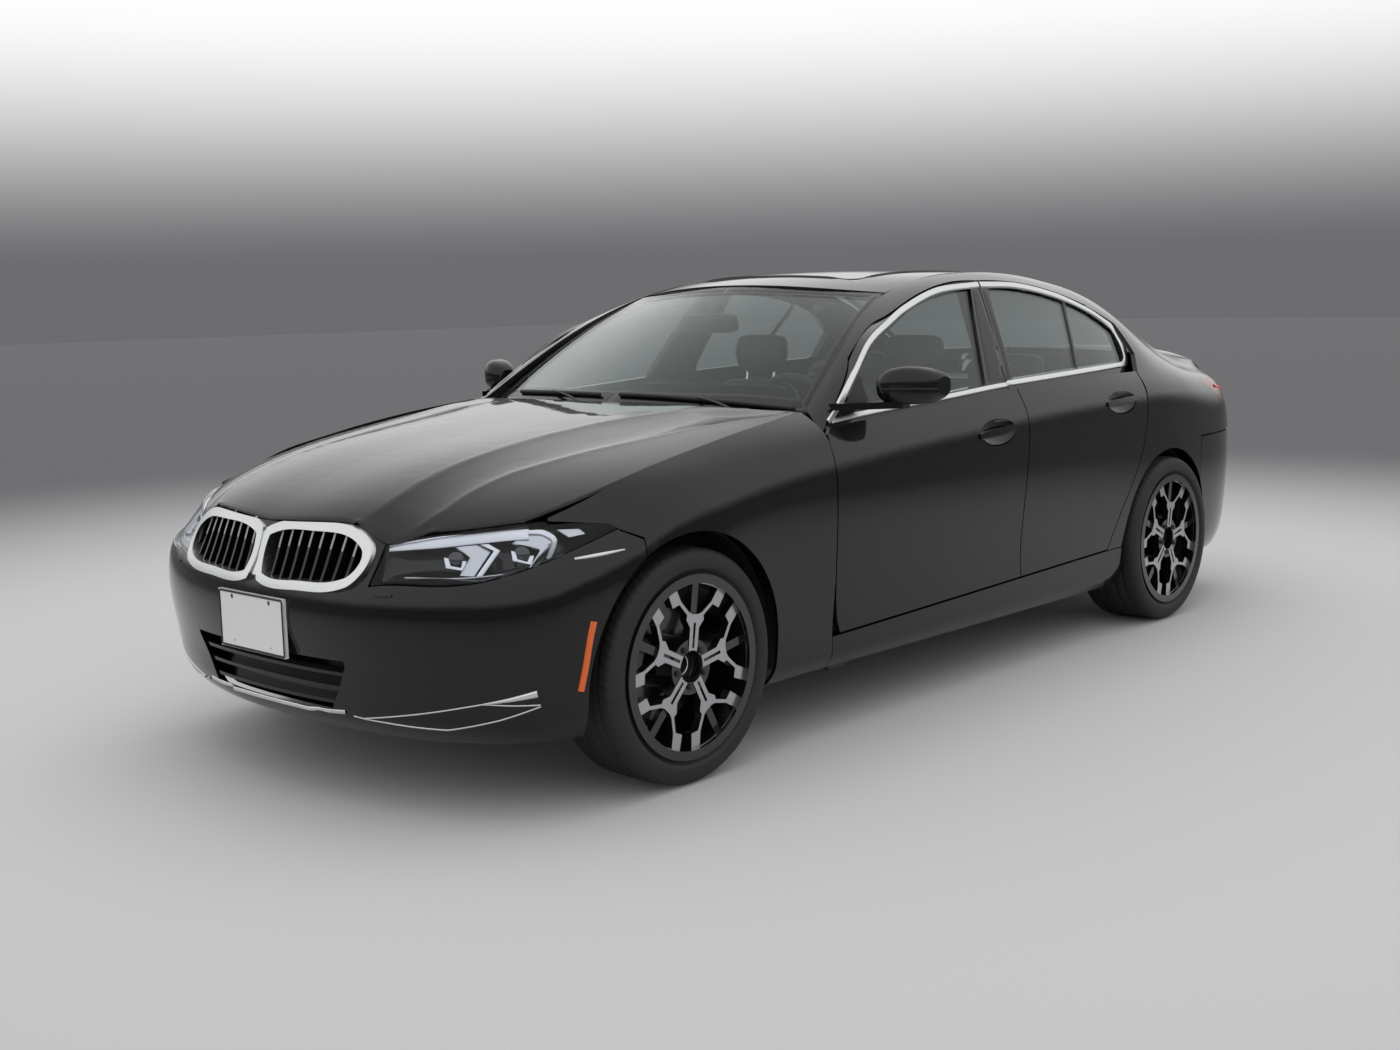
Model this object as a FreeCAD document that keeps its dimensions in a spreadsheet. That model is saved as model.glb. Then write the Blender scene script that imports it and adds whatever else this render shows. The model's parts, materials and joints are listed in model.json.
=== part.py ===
"""A mid-size four-door sedan car, in millimetres.

+X points to the front, +Y to the car's left and +Z up. The origin is on the ground,
under the middle of the length. The body is drawn by named lines, as a stylist's tape
drawing is: each panel is a smooth surface through its lines, given its thickness
inwards, and then cut along the shut lines.
"""
import FreeCAD, Part
import math
import os

V = FreeCAD.Vector
doc = FreeCAD.newDocument("sedan")
sheet = doc.addObject("Spreadsheet::Sheet", "Sizes")

SIZES = [
    ("overall_length", 4720), ("front_overhang", 809), ("wheelbase", 2851),
    ("body_width", 1827), ("roof_height", 1424), ("shut_gap", 5),
    ("skin", 10), ("panel", 22), ("door_thickness", 92), ("frame_thickness", 30),
    ("door_inset", 22), ("cup_length", 224), ("cup_height", 100), ("cup_depth", 20), ("handle_height", 24), ("glass", 4.8), ("screen_glass", 5.5), ("roof_panel_thickness", 20), ("sunroof_thickness", 12),
    ("hood_thickness", 24), ("lid_thickness", 24), ("bumper_thickness", 22),
    ("lamp_depth", 95),
    ("tyre_radius", 331), ("rim_radius", 258.8), ("bead_radius", 241.3),
    ("front_tyre_width", 225), ("rear_tyre_width", 255),
    ("front_track_half", 793), ("rear_track_half", 798),
    ("front_arch_radius", 378), ("rear_arch_radius", 366),
    ("spoke_thickness", 26), ("spoke_fan_angle", 30), ("spoke_foot_angle", 20), ("spoke_foot_length", 52),
    ("spoke_bar_width", 24), ("spoke_lean", 8), ("rim_edge_width", 9), ("spoke_hub_radius", 44), ("spoke_fork_radius", 132),
    ("spoke_stem_width", 34), ("hub_bore_radius", 33.3), ("stub_radius", 33),
    ("disc_radius", 165), ("disc_thickness", 24), ("disc_inset", 44), ("seat_clearance", 0.3),
    ("steering_wheel_radius", 185), ("seat_width", 520), ("seat_offset", 370),
    ("engine_length", 620), ("engine_width", 520), ("engine_height", 560),
    ("plate_width", 312), ("plate_height", 162), ("plate_thickness", 11), ("plate_stand_off", 7),
    ("plate_up", 481), ("plate_holes_across", 177.8), ("plate_holes_up", 120.6), ("plate_hole_radius", 3.5),
    ("jack_pad_width", 70), ("jack_pad_length", 90), ("floor_thickness", 22),
    ("exhaust_radius", 31), ("tailpipe_radius", 48),
]
for row, (alias, value) in enumerate(SIZES, start=1):
    sheet.set("A%d" % row, alias)
    sheet.set("B%d" % row, str(value))
    sheet.setAlias("B%d" % row, alias)
doc.recompute()


def size(alias):
    return float(sheet.get(alias))


# Where the lines lie once the driving sizes are set
LENGTH, WIDTH, ROOF = size("overall_length"), size("body_width"), size("roof_height")
FRONT_AXLE = LENGTH / 2 - size("front_overhang")
REAR_AXLE = FRONT_AXLE - size("wheelbase")
RADIUS = size("tyre_radius")
DRAWN = {"length": 4713.0, "front": 1554.5, "rear": -1296.5, "width": 1827.0, "radius": 331.0, "roof": 1424.0}


def px(x):
    stops = [(-DRAWN["length"] / 2, -LENGTH / 2), (DRAWN["rear"], REAR_AXLE), (DRAWN["front"], FRONT_AXLE),
             (DRAWN["length"] / 2, LENGTH / 2 - size("plate_stand_off"))]
    for (a, b), (c, d) in zip(stops, stops[1:]):
        if x <= c or c == stops[-1][0]:
            return b + (x - a) * (d - b) / (c - a)


def py(y):
    return y * WIDTH / DRAWN["width"]


def pz(z):
    if z <= DRAWN["radius"]:
        return z * RADIUS / DRAWN["radius"]
    return RADIUS + (z - DRAWN["radius"]) * (ROOF - RADIUS) / (DRAWN["roof"] - DRAWN["radius"])


def put(p):
    return V(px(p[0]), py(p[1]), pz(p[2]))


# Surfaces through named lines


def drawn_through(line):
    """Control points of a smooth curve that runs through the line's points."""
    inner = [b - (a - b * 2 + c) / 6 for a, b, c in zip(line, line[1:], line[2:])]
    return [line[0]] + inner + [line[-1]] if len(line) > 3 else list(line)


def net_of(lines):
    rows = [drawn_through([put(p) for p in line]) for line in lines]
    columns = [drawn_through(list(c)) for c in zip(*rows)]
    return [list(r) for r in zip(*columns)]


def mirrored_lines(lines):
    """Lines from the middle outwards, completed by their mirror images."""
    return [[(x, -y, z) for x, y, z in line] for line in lines[:0:-1]] + list(lines)


def mirrored_points(lines):
    return [[(x, -y, z) for x, y, z in line[:0:-1]] + list(line) for line in lines]


def shifted(net, distance, out):
    """The net moved by a distance against its own outward side."""
    if not distance:
        return [list(r) for r in net]
    m, n = len(net), len(net[0])
    normals = []
    for i in range(m):
        row = []
        for j in range(n):
            a = net[min(i + 1, m - 1)][j] - net[max(i - 1, 0)][j]
            b = net[i][min(j + 1, n - 1)] - net[i][max(j - 1, 0)]
            c = a.cross(b)
            row.append(c.normalize() if c.Length > 1e-9 else V(0, 0, 0))
        normals.append(row)
    side = sum(c.dot(out) for row in normals for c in row)
    sign = -1 if side > 0 else 1
    return [[net[i][j] + normals[i][j] * (sign * distance) for j in range(n)] for i in range(m)]


def knots(count, degree):
    spans = count - degree
    return [k / spans for k in range(spans + 1)], [degree + 1] + [1] * (spans - 1) + [degree + 1]


def spline_face(poles):
    du, dv = min(3, len(poles) - 1), min(3, len(poles[0]) - 1)
    ku, mu = knots(len(poles), du)
    kv, mv = knots(len(poles[0]), dv)
    surface = Part.BSplineSurface()
    surface.buildFromPolesMultsKnots(poles, mu, mv, ku, kv, False, False, du, dv)
    return surface.toShape()


def closed(faces):
    shell = Part.Shell(faces)
    shell.sewShape()
    solid = Part.Solid(Part.Shell(shell.Faces))
    if solid.Volume < 0:
        solid.reverse()
    return solid


def slab(net, thickness, out, inset=0):
    """A panel: the surface, moved in by inset, and its thickness behind it."""
    a, b = shifted(net, inset, out), shifted(net, inset + thickness, out)
    sides = [(a[0], b[0]), (a[-1], b[-1]), ([r[0] for r in a], [r[0] for r in b]),
             ([r[-1] for r in a], [r[-1] for r in b])]
    return closed([spline_face(a), spline_face(b)] + [spline_face([list(p), list(q)]) for p, q in sides])


# Outlines: each is a closed row of runs, a run of two points being straight


def flat_points(runs):
    return [p for run in runs for p in run[:-1]]


def grown(runs, distance):
    """The outline moved outwards by a distance, corners kept sharp."""
    pts = flat_points(runs)
    area = sum(a[0] * b[1] - b[0] * a[1] for a, b in zip(pts, pts[1:] + pts[:1]))
    sign = 1 if area > 0 else -1
    moved = []
    for k, p in enumerate(pts):
        a, b = pts[k - 1], pts[(k + 1) % len(pts)]
        u, w = (p[0] - a[0], p[1] - a[1]), (b[0] - p[0], b[1] - p[1])
        lu, lw = math.hypot(*u), math.hypot(*w)
        n1, n2 = (u[1] / lu, -u[0] / lu), (w[1] / lw, -w[0] / lw)
        share = max(0.35, 1 + n1[0] * n2[0] + n1[1] * n2[1])
        moved.append((p[0] + sign * distance * (n1[0] + n2[0]) / share,
                      p[1] + sign * distance * (n1[1] + n2[1]) / share))
    out, k = [], 0
    for run in runs:
        out.append([moved[(k + i) % len(moved)] for i in range(len(run))])
        k += len(run) - 1
    return out


def outline_face(runs, to3d):
    edges = []
    for run in runs:
        pts = [to3d(a, b) for a, b in run]
        if len(pts) == 2:
            edges.append(Part.makeLine(pts[0], pts[1]))
        else:
            curve = Part.BSplineCurve()
            curve.interpolate(pts)
            edges.append(curve.toShape())
    return Part.Face(Part.Wire(edges))


def side_prism(runs, near, far):
    """An outline in the side view, carried across from y = near to y = far."""
    return outline_face(runs, lambda x, z: V(px(x), near, pz(z))).extrude(V(0, far - near, 0))


def front_prism(runs, near, far):
    return outline_face(runs, lambda y, z: V(near, py(y), pz(z))).extrude(V(far - near, 0, 0))


def plan_prism(runs, low, high):
    return outline_face(runs, lambda x, y: V(px(x), py(y), low)).extrude(V(0, 0, high - low))


def poly(*pts):
    """Straight runs round the given corners."""
    pts = list(pts)
    return [[a, b] for a, b in zip(pts, pts[1:] + pts[:1])]


def box(x0, x1, y0, y1, z0, z1):
    return Part.makeBox(x1 - x0, y1 - y0, z1 - z0, V(x0, y0, z0))


def mirror(shape):
    return shape.mirror(V(0, 0, 0), V(0, 1, 0))


def both(shape):
    return Part.makeCompound([shape, mirror(shape)])


def rod(a, b, radius):
    return Part.makeCylinder(radius, (b - a).Length, a, b - a)


def biggest(shape, count=1):
    return sorted(shape.Solids, key=lambda s: -s.Volume)[:count]


def solid(shape):
    return biggest(shape)[0]


NODES = []


def node(name, shape):
    obj = doc.addObject("Part::Feature", name)
    obj.Label = name
    obj.Shape = shape
    obj.Placement = FreeCAD.Placement()
    NODES.append(obj)
    return obj


# The lines of the left side, front to rear, from the sill up

OUT_Y, OUT_Z, OUT_X, REAR_X = V(0, 1, 0), V(0, 0, 1), V(1, 0, 0), V(-1, 0, 0)


def lines(stations, *rows):
    return [[(x, y, z) for x, y, z in zip(stations, ys, zs)] for ys, zs in rows]


FENDER = lines(
    (1960, 1870, 1790, 1690, 1554, 1400, 1230, 1060, 906),
    ((805, 838, 846, 850, 856, 858, 856, 854, 852), (202, 204, 205, 200, 200, 200, 203, 204, 203)),
    ((838, 864, 868, 876, 884, 886, 884, 882, 880), (262, 262, 255, 245, 245, 245, 245, 245, 245)),
    ((846, 872, 880, 886, 892, 892, 886, 880, 876), (340, 335, 320, 300, 300, 300, 293, 293, 296)),
    ((860, 888, 896, 903, 908, 907, 898, 892, 890), (440, 440, 436, 430, 430, 430, 430, 430, 430)),
    ((864, 892, 902, 910, 913.5, 912, 905, 903, 903), (545, 555, 560, 580, 590, 590, 590, 590, 590)),
    ((856, 886, 897, 906, 911, 911, 906, 905, 905), (630, 640, 655, 690, 715, 722, 728, 730, 730)),
    ((830, 864, 880, 892, 898, 899, 898, 898, 899), (690, 698, 712, 748, 782, 798, 808, 815, 820)),
    ((802, 832, 850, 860, 868, 872, 876, 880, 882), (738, 748, 762, 802, 840, 858, 868, 875, 880)),
    ((782, 798, 814, 826, 834, 838, 842, 846, 848), (765, 784, 806, 842, 872, 895, 915, 928, 938)),
    ((768, 780, 789, 796, 798, 796, 790, 780, 766), (782, 806, 834, 867, 893, 922, 948, 969, 984)))

DOOR = lines(
    (906, 650, 250, -190, -650, -1000, -1296, -1550),
    ((852, 855, 858, 858, 856, 852, 850, 846), (203, 200, 198, 195, 192, 190, 195, 205)),
    ((880, 884, 887, 888, 887, 886, 884, 876), (245,) * 8),
    ((876, 880, 884, 886, 888, 890, 890, 882), (296, 303, 314, 325, 335, 345, 355, 365)),
    ((890, 891, 893, 895, 899, 904, 909, 902), (430,) * 8),
    ((903, 904, 905, 907, 909, 912, 913.5, 906), (590,) * 8),
    ((905, 906, 907, 909, 911, 913, 913.5, 906), (730,) * 8),
    ((899, 900, 902, 904, 906, 907, 905, 896), (820, 828, 838, 850, 862, 872, 878, 880)),
    ((882, 886, 890, 893, 894, 893, 888, 873), (880, 890, 905, 922, 940, 950, 950, 940)),
    ((848, 853, 858, 862, 860, 852, 840, 822), (938, 951, 973, 997, 1010, 1013, 1010, 996)))

QUARTER = [
    [(-780, 855, 192), (-1000, 850, 195), (-1200, 851, 200), (-1330, 850, 200), (-1470, 847, 205), (-1610, 845, 210),
     (-1750, 836, 215), (-1880, 812, 218), (-2000, 772, 220), (-2105, 712, 220), (-2170, 650, 220)],
    [(-780, 887, 245), (-1000, 886, 245), (-1200, 886, 245), (-1330, 886, 245), (-1470, 882, 248), (-1610, 876, 255),
     (-1750, 868, 262), (-1880, 848, 268), (-2000, 808, 270), (-2105, 748, 270), (-2178, 680, 270)],
    [(-780, 889, 338), (-1000, 890, 345), (-1200, 891, 350), (-1330, 891, 355), (-1470, 888, 360), (-1610, 882, 365),
     (-1750, 875, 370), (-1880, 856, 370), (-2000, 818, 370), (-2105, 756, 370), (-2186, 688, 370)],
    [(-780, 901, 430), (-1000, 904, 430), (-1200, 908, 430), (-1330, 909, 430), (-1470, 904, 435), (-1610, 897, 440),
     (-1750, 887, 450), (-1880, 866, 455), (-2000, 828, 455), (-2105, 766, 455), (-2192, 694, 455)],
    [(-780, 911, 590), (-1000, 912, 590), (-1200, 913.5, 590), (-1330, 913.5, 590), (-1470, 909, 590), (-1610, 902, 590),
     (-1750, 892, 595), (-1880, 872, 598), (-2000, 836, 600), (-2108, 774, 600), (-2196, 700, 600)],
    [(-780, 912, 730), (-1000, 913, 730), (-1200, 913.5, 730), (-1330, 913.5, 730), (-1470, 909, 728), (-1610, 901, 725),
     (-1750, 889, 722), (-1880, 871, 720), (-2000, 838, 720), (-2110, 775, 722), (-2196, 702, 724)],
    [(-780, 906, 866), (-1000, 907, 872), (-1200, 907, 876), (-1330, 905, 874), (-1470, 900, 866), (-1610, 892, 850),
     (-1750, 879, 832), (-1880, 862, 826), (-2000, 828, 824), (-2108, 766, 824), (-2192, 690, 826)],
    [(-780, 893, 944), (-1000, 893, 950), (-1200, 892, 952), (-1330, 886, 950), (-1470, 878, 945), (-1610, 866, 932),
     (-1750, 850, 918), (-1880, 832, 908), (-2000, 796, 904), (-2104, 732, 904), (-2184, 660, 906)],
    [(-780, 857, 1011), (-1000, 852, 1013), (-1200, 846, 1013), (-1330, 838, 1008), (-1470, 826, 998), (-1610, 812, 983),
     (-1750, 798, 966), (-1880, 784, 954), (-2000, 750, 948), (-2098, 692, 948), (-2178, 626, 954)],
    [(-850, 812, 1092), (-1010, 806, 1085), (-1210, 800, 1080), (-1345, 786, 1062), (-1490, 772, 1038), (-1630, 758, 1012),
     (-1760, 744, 990), (-1880, 732, 976), (-1992, 706, 970), (-2088, 658, 972), (-2168, 606, 980)],
    [(-850, 748, 1196), (-1000, 742, 1185), (-1200, 738, 1168), (-1350, 728, 1130), (-1500, 716, 1084), (-1640, 704, 1042),
     (-1770, 694, 1014), (-1880, 680, 1000), (-1986, 662, 992), (-2080, 632, 992), (-2160, 597, 998)],
    [(-830, 655, 1330), (-980, 660, 1300), (-1185, 668, 1250), (-1350, 672, 1186), (-1510, 672, 1116), (-1655, 666, 1062),
     (-1780, 660, 1034), (-1880, 652, 1022), (-1984, 638, 1014), (-2080, 614, 1008), (-2158, 590, 1006)],
    [(-815, 562, 1381), (-965, 574, 1356), (-1175, 598, 1300), (-1350, 618, 1228), (-1520, 636, 1146), (-1668, 648, 1078),
     (-1785, 648, 1048), (-1880, 642, 1034), (-1984, 628, 1024), (-2080, 606, 1016), (-2156, 586, 1012)]]

GLASSHOUSE = [
    [(925, 842, 905), (700, 838, 920), (450, 836, 932), (180, 836, 945), (-150, 836, 962),
     (-500, 834, 975), (-850, 828, 980), (-1080, 818, 978), (-1290, 800, 970)],
    [(893, 828, 955), (690, 822, 988), (445, 822, 997), (180, 823, 1003), (-150, 822, 1010),
     (-500, 820, 1018), (-850, 814, 1024), (-1080, 806, 1024), (-1290, 790, 1020)],
    [(830, 812, 1000), (610, 787, 1078), (400, 774, 1110), (150, 757, 1150), (-160, 748, 1170),
     (-500, 748, 1172), (-850, 750, 1155), (-1090, 756, 1125), (-1290, 758, 1080)],
    [(757, 796, 1056), (530, 752, 1165), (340, 714, 1240), (110, 684, 1290), (-170, 668, 1315),
     (-510, 668, 1312), (-840, 680, 1280), (-1085, 704, 1218), (-1290, 724, 1140)],
    [(670, 774, 1122), (470, 722, 1243), (260, 677, 1312), (50, 645, 1366), (-190, 631, 1391),
     (-520, 629, 1390), (-820, 641, 1352), (-1060, 672, 1284), (-1280, 700, 1190)]]

RAIL = [
    [(905, 842, 920), (800, 820, 985), (640, 774, 1105), (470, 729, 1212), (240, 688, 1296),
     (-10, 656, 1352), (-290, 640, 1371), (-540, 643, 1365), (-800, 655, 1330), (-1040, 683, 1266)],
    [(888, 806, 960), (770, 780, 1040), (590, 735, 1155), (400, 690, 1250), (190, 640, 1330),
     (-30, 606, 1377), (-300, 594, 1394), (-550, 596, 1392), (-805, 606, 1366), (-1050, 630, 1312)],
    [(860, 752, 986), (740, 722, 1065), (560, 672, 1180), (385, 622, 1270), (200, 582, 1338),
     (-35, 560, 1386), (-310, 553, 1405), (-560, 553, 1404), (-810, 558, 1382), (-1060, 582, 1336)]]

ROOF_LINES = [
    [(330, 0, 1376), (80, 0, 1411), (-200, 0, 1424), (-480, 0, 1423), (-740, 0, 1411), (-980, 0, 1388)],
    [(320, 200, 1372), (70, 200, 1408), (-205, 200, 1421), (-482, 200, 1420), (-742, 200, 1408), (-984, 200, 1384)],
    [(274, 400, 1357), (40, 400, 1396), (-215, 400, 1411), (-490, 400, 1411), (-755, 400, 1396), (-1000, 400, 1368)],
    [(196, 576, 1339), (-30, 556, 1388), (-290, 549, 1406), (-540, 549, 1405), (-800, 554, 1385), (-1040, 572, 1344)]]

WINDSCREEN = [
    [(984, 0, 988), (825, 0, 1098), (655, 0, 1206), (490, 0, 1298), (334, 0, 1374)],
    [(968, 250, 987), (808, 240, 1096), (638, 230, 1202), (472, 222, 1293), (316, 215, 1369)],
    [(905, 500, 984), (757, 475, 1088), (587, 455, 1192), (420, 440, 1284), (264, 425, 1352)],
    [(822, 734, 982), (690, 694, 1080), (535, 652, 1183), (370, 610, 1273), (204, 576, 1339)]]

REAR_SCREEN = [
    [(-984, 0, 1386), (-1140, 0, 1342), (-1300, 0, 1278), (-1465, 0, 1194), (-1636, 0, 1092)],
    [(-988, 220, 1382), (-1145, 228, 1338), (-1307, 236, 1273), (-1474, 244, 1190), (-1646, 252, 1089)],
    [(-1004, 420, 1366), (-1163, 440, 1320), (-1326, 460, 1256), (-1494, 482, 1172), (-1670, 505, 1080)],
    [(-1044, 568, 1342), (-1195, 590, 1292), (-1355, 612, 1222), (-1520, 630, 1142), (-1690, 642, 1068)]]

DECK = [
    [(-1650, 0, 1082), (-1800, 0, 1079), (-1970, 0, 1072), (-2130, 0, 1066), (-2275, 0, 1070)],
    [(-1660, 230, 1080), (-1808, 230, 1077), (-1975, 230, 1070), (-2132, 228, 1063), (-2268, 225, 1066)],
    [(-1690, 460, 1068), (-1830, 460, 1062), (-1985, 456, 1053), (-2125, 448, 1044), (-2240, 438, 1044)],
    [(-1700, 640, 1056), (-1860, 634, 1038), (-1990, 620, 1026), (-2095, 597, 1016), (-2170, 575, 1012)]]

LID_FACE = [
    [(-2275, 0, 1070), (-2268, 225, 1066), (-2240, 438, 1044), (-2170, 575, 1012)],
    [(-2292, 0, 1010), (-2284, 230, 1008), (-2246, 460, 990), (-2180, 620, 970)],
    [(-2300, 0, 930), (-2292, 235, 928), (-2252, 475, 920), (-2186, 650, 908)],
    [(-2318, 0, 850), (-2308, 240, 850), (-2266, 485, 845), (-2196, 672, 838)],
    [(-2316, 0, 740), (-2306, 240, 740), (-2262, 480, 738), (-2196, 690, 734)]]

HOOD = [
    [(2308, 0, 722), (2268, 0, 776), (2160, 0, 834), (1950, 0, 893), (1700, 0, 934), (1400, 0, 968), (1180, 0, 990), (1014, 0, 1002)],
    [(2300, 190, 724), (2260, 190, 780), (2150, 195, 838), (1945, 200, 895), (1695, 205, 936), (1395, 210, 969), (1175, 212, 991), (1006, 215, 1002)],
    [(2276, 360, 700), (2234, 375, 770), (2112, 390, 833), (1915, 405, 890), (1680, 425, 930), (1385, 445, 964), (1168, 460, 988), (988, 480, 1000)],
    [(2246, 450, 680), (2190, 480, 752), (2072, 505, 816), (1890, 530, 868), (1665, 560, 908), (1375, 590, 945), (1150, 605, 974), (962, 610, 995)],
    [(2170, 600, 700), (2110, 606, 758), (2010, 634, 806), (1850, 668, 851), (1645, 690, 894), (1365, 708, 935), (1140, 716, 966), (926, 712, 989)],
    [(2062, 690, 742), (2005, 715, 772), (1930, 748, 798), (1790, 783, 836), (1610, 792, 879), (1355, 789, 923), (1130, 779, 953), (894, 757, 983)]]

FRONT = [
    [(2230, 0, 190), (2222, 230, 190), (2180, 470, 192), (2090, 680, 196), (1975, 800, 202), (1860, 838, 206), (1700, 848, 208)],
    [(2318, 0, 236), (2306, 240, 237), (2258, 480, 242), (2165, 700, 252), (2030, 838, 262), (1890, 870, 262), (1700, 876, 262)],
    [(2322, 0, 320), (2312, 240, 322), (2268, 480, 328), (2180, 700, 336), (2045, 846, 342), (1890, 882, 340), (1700, 892, 340)],
    [(2346, 0, 430), (2336, 250, 432), (2290, 490, 437), (2195, 710, 445), (2055, 856, 450), (1895, 894, 448), (1700, 906, 448)],
    [(2356.5, 0, 515), (2346, 250, 518), (2300, 490, 526), (2200, 710, 538), (2055, 860, 550), (1890, 898, 555), (1700, 911, 560)],
    [(2348, 0, 590), (2336, 250, 594), (2288, 490, 604), (2188, 706, 618), (2040, 856, 630), (1878, 895, 638), (1700, 909, 645)],
    [(2322, 0, 650), (2308, 250, 654), (2258, 480, 650), (2160, 688, 655), (2012, 830, 668), (1865, 882, 690), (1700, 904, 705)],
    [(2302, 0, 706), (2286, 250, 712), (2228, 470, 705), (2124, 664, 714), (1982, 798, 724), (1852, 852, 738), (1700, 886, 750)],
    [(2284, 0, 752), (2262, 250, 764), (2200, 455, 762), (2090, 638, 772), (1950, 764, 782), (1840, 814, 780), (1700, 856, 800)]]

REAR = [
    [(-2255, 0, 215), (-2246, 250, 215), (-2205, 480, 215), (-2110, 690, 216), (-1985, 782, 218), (-1800, 826, 216), (-1600, 845, 212)],
    [(-2318, 0, 290), (-2308, 250, 290), (-2265, 490, 290), (-2165, 700, 285), (-2000, 812, 280), (-1800, 862, 272), (-1600, 877, 262)],
    [(-2335, 0, 400), (-2325, 250, 400), (-2282, 490, 400), (-2175, 708, 400), (-2005, 826, 400), (-1800, 876, 395), (-1600, 888, 385)],
    [(-2352, 0, 520), (-2342, 250, 520), (-2298, 490, 520), (-2186, 712, 520), (-2010, 832, 520), (-1800, 884, 520), (-1600, 900, 520)],
    [(-2356.5, 0, 630), (-2347, 250, 630), (-2302, 490, 630), (-2190, 712, 630), (-2012, 834, 630), (-1800, 886, 630), (-1600, 903, 630)],
    [(-2345, 0, 724), (-2335, 250, 724), (-2290, 490, 724), (-2184, 708, 724), (-2005, 836, 722), (-1800, 884, 722), (-1600, 902, 725)]]

fender_net, door_net, quarter_net = net_of(FENDER), net_of(DOOR), net_of(QUARTER)
glass_net, rail_net = net_of(GLASSHOUSE), net_of(RAIL)
roof_net, screen_net = net_of(mirrored_lines(ROOF_LINES)), net_of(mirrored_lines(WINDSCREEN))
rear_screen_net, hood_net = net_of(mirrored_lines(REAR_SCREEN)), net_of(mirrored_lines(HOOD))
deck_net, lid_face_net = net_of(mirrored_lines(DECK)), net_of(mirrored_points(LID_FACE))
front_net, rear_net = net_of(mirrored_points(FRONT)), net_of(mirrored_points(REAR))

# The shut lines, in the side view unless another is named

GAP = size("shut_gap")
HINGE_LINE = [(867, 306), (890, 370), (902, 458), (905, 700), (906, 880)]
B_LINE = [(-286, 1374), (-268, 1300), (-235, 1180), (-192, 1010), (-206, 930), (-195, 732), (-168, 502), (-187, 330)]
DLO_TOP = [(862, 946), (780, 1007), (650, 1106), (520, 1199), (370, 1257), (222, 1304), (-8, 1356), (-286, 1374)]
DLO_REAR_TOP = [(-286, 1374), (-539, 1367), (-798, 1330), (-1027, 1264), (-1176, 1196)]
ARCH_LINE = [(-1108, 1006), (-1106, 943), (-1089, 818), (-1034, 676), (-935, 537), (-843, 397)]
FRONT_DOOR = [DLO_TOP, B_LINE, [(-187, 330), (867, 306)], HINGE_LINE, [(906, 880), (895, 920)], [(895, 920), (862, 946)]]
REAR_DOOR = [B_LINE[::-1], DLO_REAR_TOP, [(-1176, 1196), (-1186, 1130), (-1184, 1076)], [(-1184, 1076), (-1108, 1006)],
             ARCH_LINE, [(-843, 397), (-815, 344)], [(-815, 344), (-187, 330)]]
BOTH_DOORS = [DLO_TOP, DLO_REAR_TOP, REAR_DOOR[2], REAR_DOOR[3], ARCH_LINE, REAR_DOOR[5],
              [(-815, 344), (-187, 330)], [(-187, 330), (867, 306)], HINGE_LINE, FRONT_DOOR[4], FRONT_DOOR[5]]
FRONT_WINDOW = [[(770, 982), (640, 1078), (510, 1166), (365, 1225), (222, 1276), (-5, 1327), (-220, 1346)],
                [(-220, 1346), (-130, 1180), (-58, 1016)], [(-58, 1016), (250, 998), (560, 984), (770, 982)]]
REAR_WINDOW = [[(-340, 1346), (-539, 1341), (-790, 1304), (-1010, 1240), (-1150, 1166)], [(-1150, 1166), (-1128, 1050)],
               [(-1128, 1050), (-700, 1040), (-236, 1026)], [(-236, 1026), (-285, 1200), (-340, 1346)]]

door_half = GAP / 2
inner, outer = py(200), py(1100)
print("nets ready")

# Doors


def door(outline, window):
    skin = slab(door_net, size("skin"), OUT_Y).common(side_prism(grown(outline, -door_half), inner, outer))
    inset = grown(outline, -door_half - size("door_inset"))
    core = slab(door_net, size("door_thickness"), OUT_Y).common(side_prism(inset, inner, outer))
    frame = slab(glass_net, size("frame_thickness"), OUT_Y).common(side_prism(grown(outline, -door_half), inner, outer))
    frame = frame.cut(side_prism(window, inner, outer))
    return solid(solid(skin).fuse([solid(core), solid(frame)]))


def pane(window):
    return solid(slab(glass_net, size("glass"), OUT_Y, 8).common(side_prism(window, inner, outer)))




def handled(shape, x, z, tilt):
    """A hollow for the fingers in the door's skin, with a bar across it."""
    long, tall, deep = size("cup_length") / 2, size("cup_height") / 2, size("cup_depth")
    cup = Part.makeSphere(1, V(0, 0, 0))
    stretch = FreeCAD.Matrix()
    stretch.scale(V(long, deep, tall))
    cup = cup.transformGeometry(stretch)
    cup.translate(V(px(x), py(904), pz(z)))
    reach, thick = long + 8, size("handle_height") / 2
    bar = [[(x - reach, z + tilt - thick * 0.7), (x - reach, z + tilt + thick * 0.7)],
           [(x - reach, z + tilt + thick * 0.7), (x, z + thick), (x + reach, z - tilt + thick * 0.7)],
           [(x + reach, z - tilt + thick * 0.7), (x + reach, z - tilt - thick * 0.7)],
           [(x + reach, z - tilt - thick * 0.7), (x, z - thick), (x - reach, z + tilt - thick * 0.7)]]
    handle = slab(door_net, 14, OUT_Y, -6).common(side_prism(bar, inner, outer))
    return solid(shape.cut(cup).fuse(solid(handle)))


front_door = handled(door(FRONT_DOOR, FRONT_WINDOW), -8, 862, 9)
rear_door = handled(door(REAR_DOOR, REAR_WINDOW), -898, 911, 7)
front_pane, rear_pane = pane(FRONT_WINDOW), pane(REAR_WINDOW)
print("doors", front_door.Volume, rear_door.Volume, front_door.isValid(), rear_door.isValid())

# Outer panels that stay on the body

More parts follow.
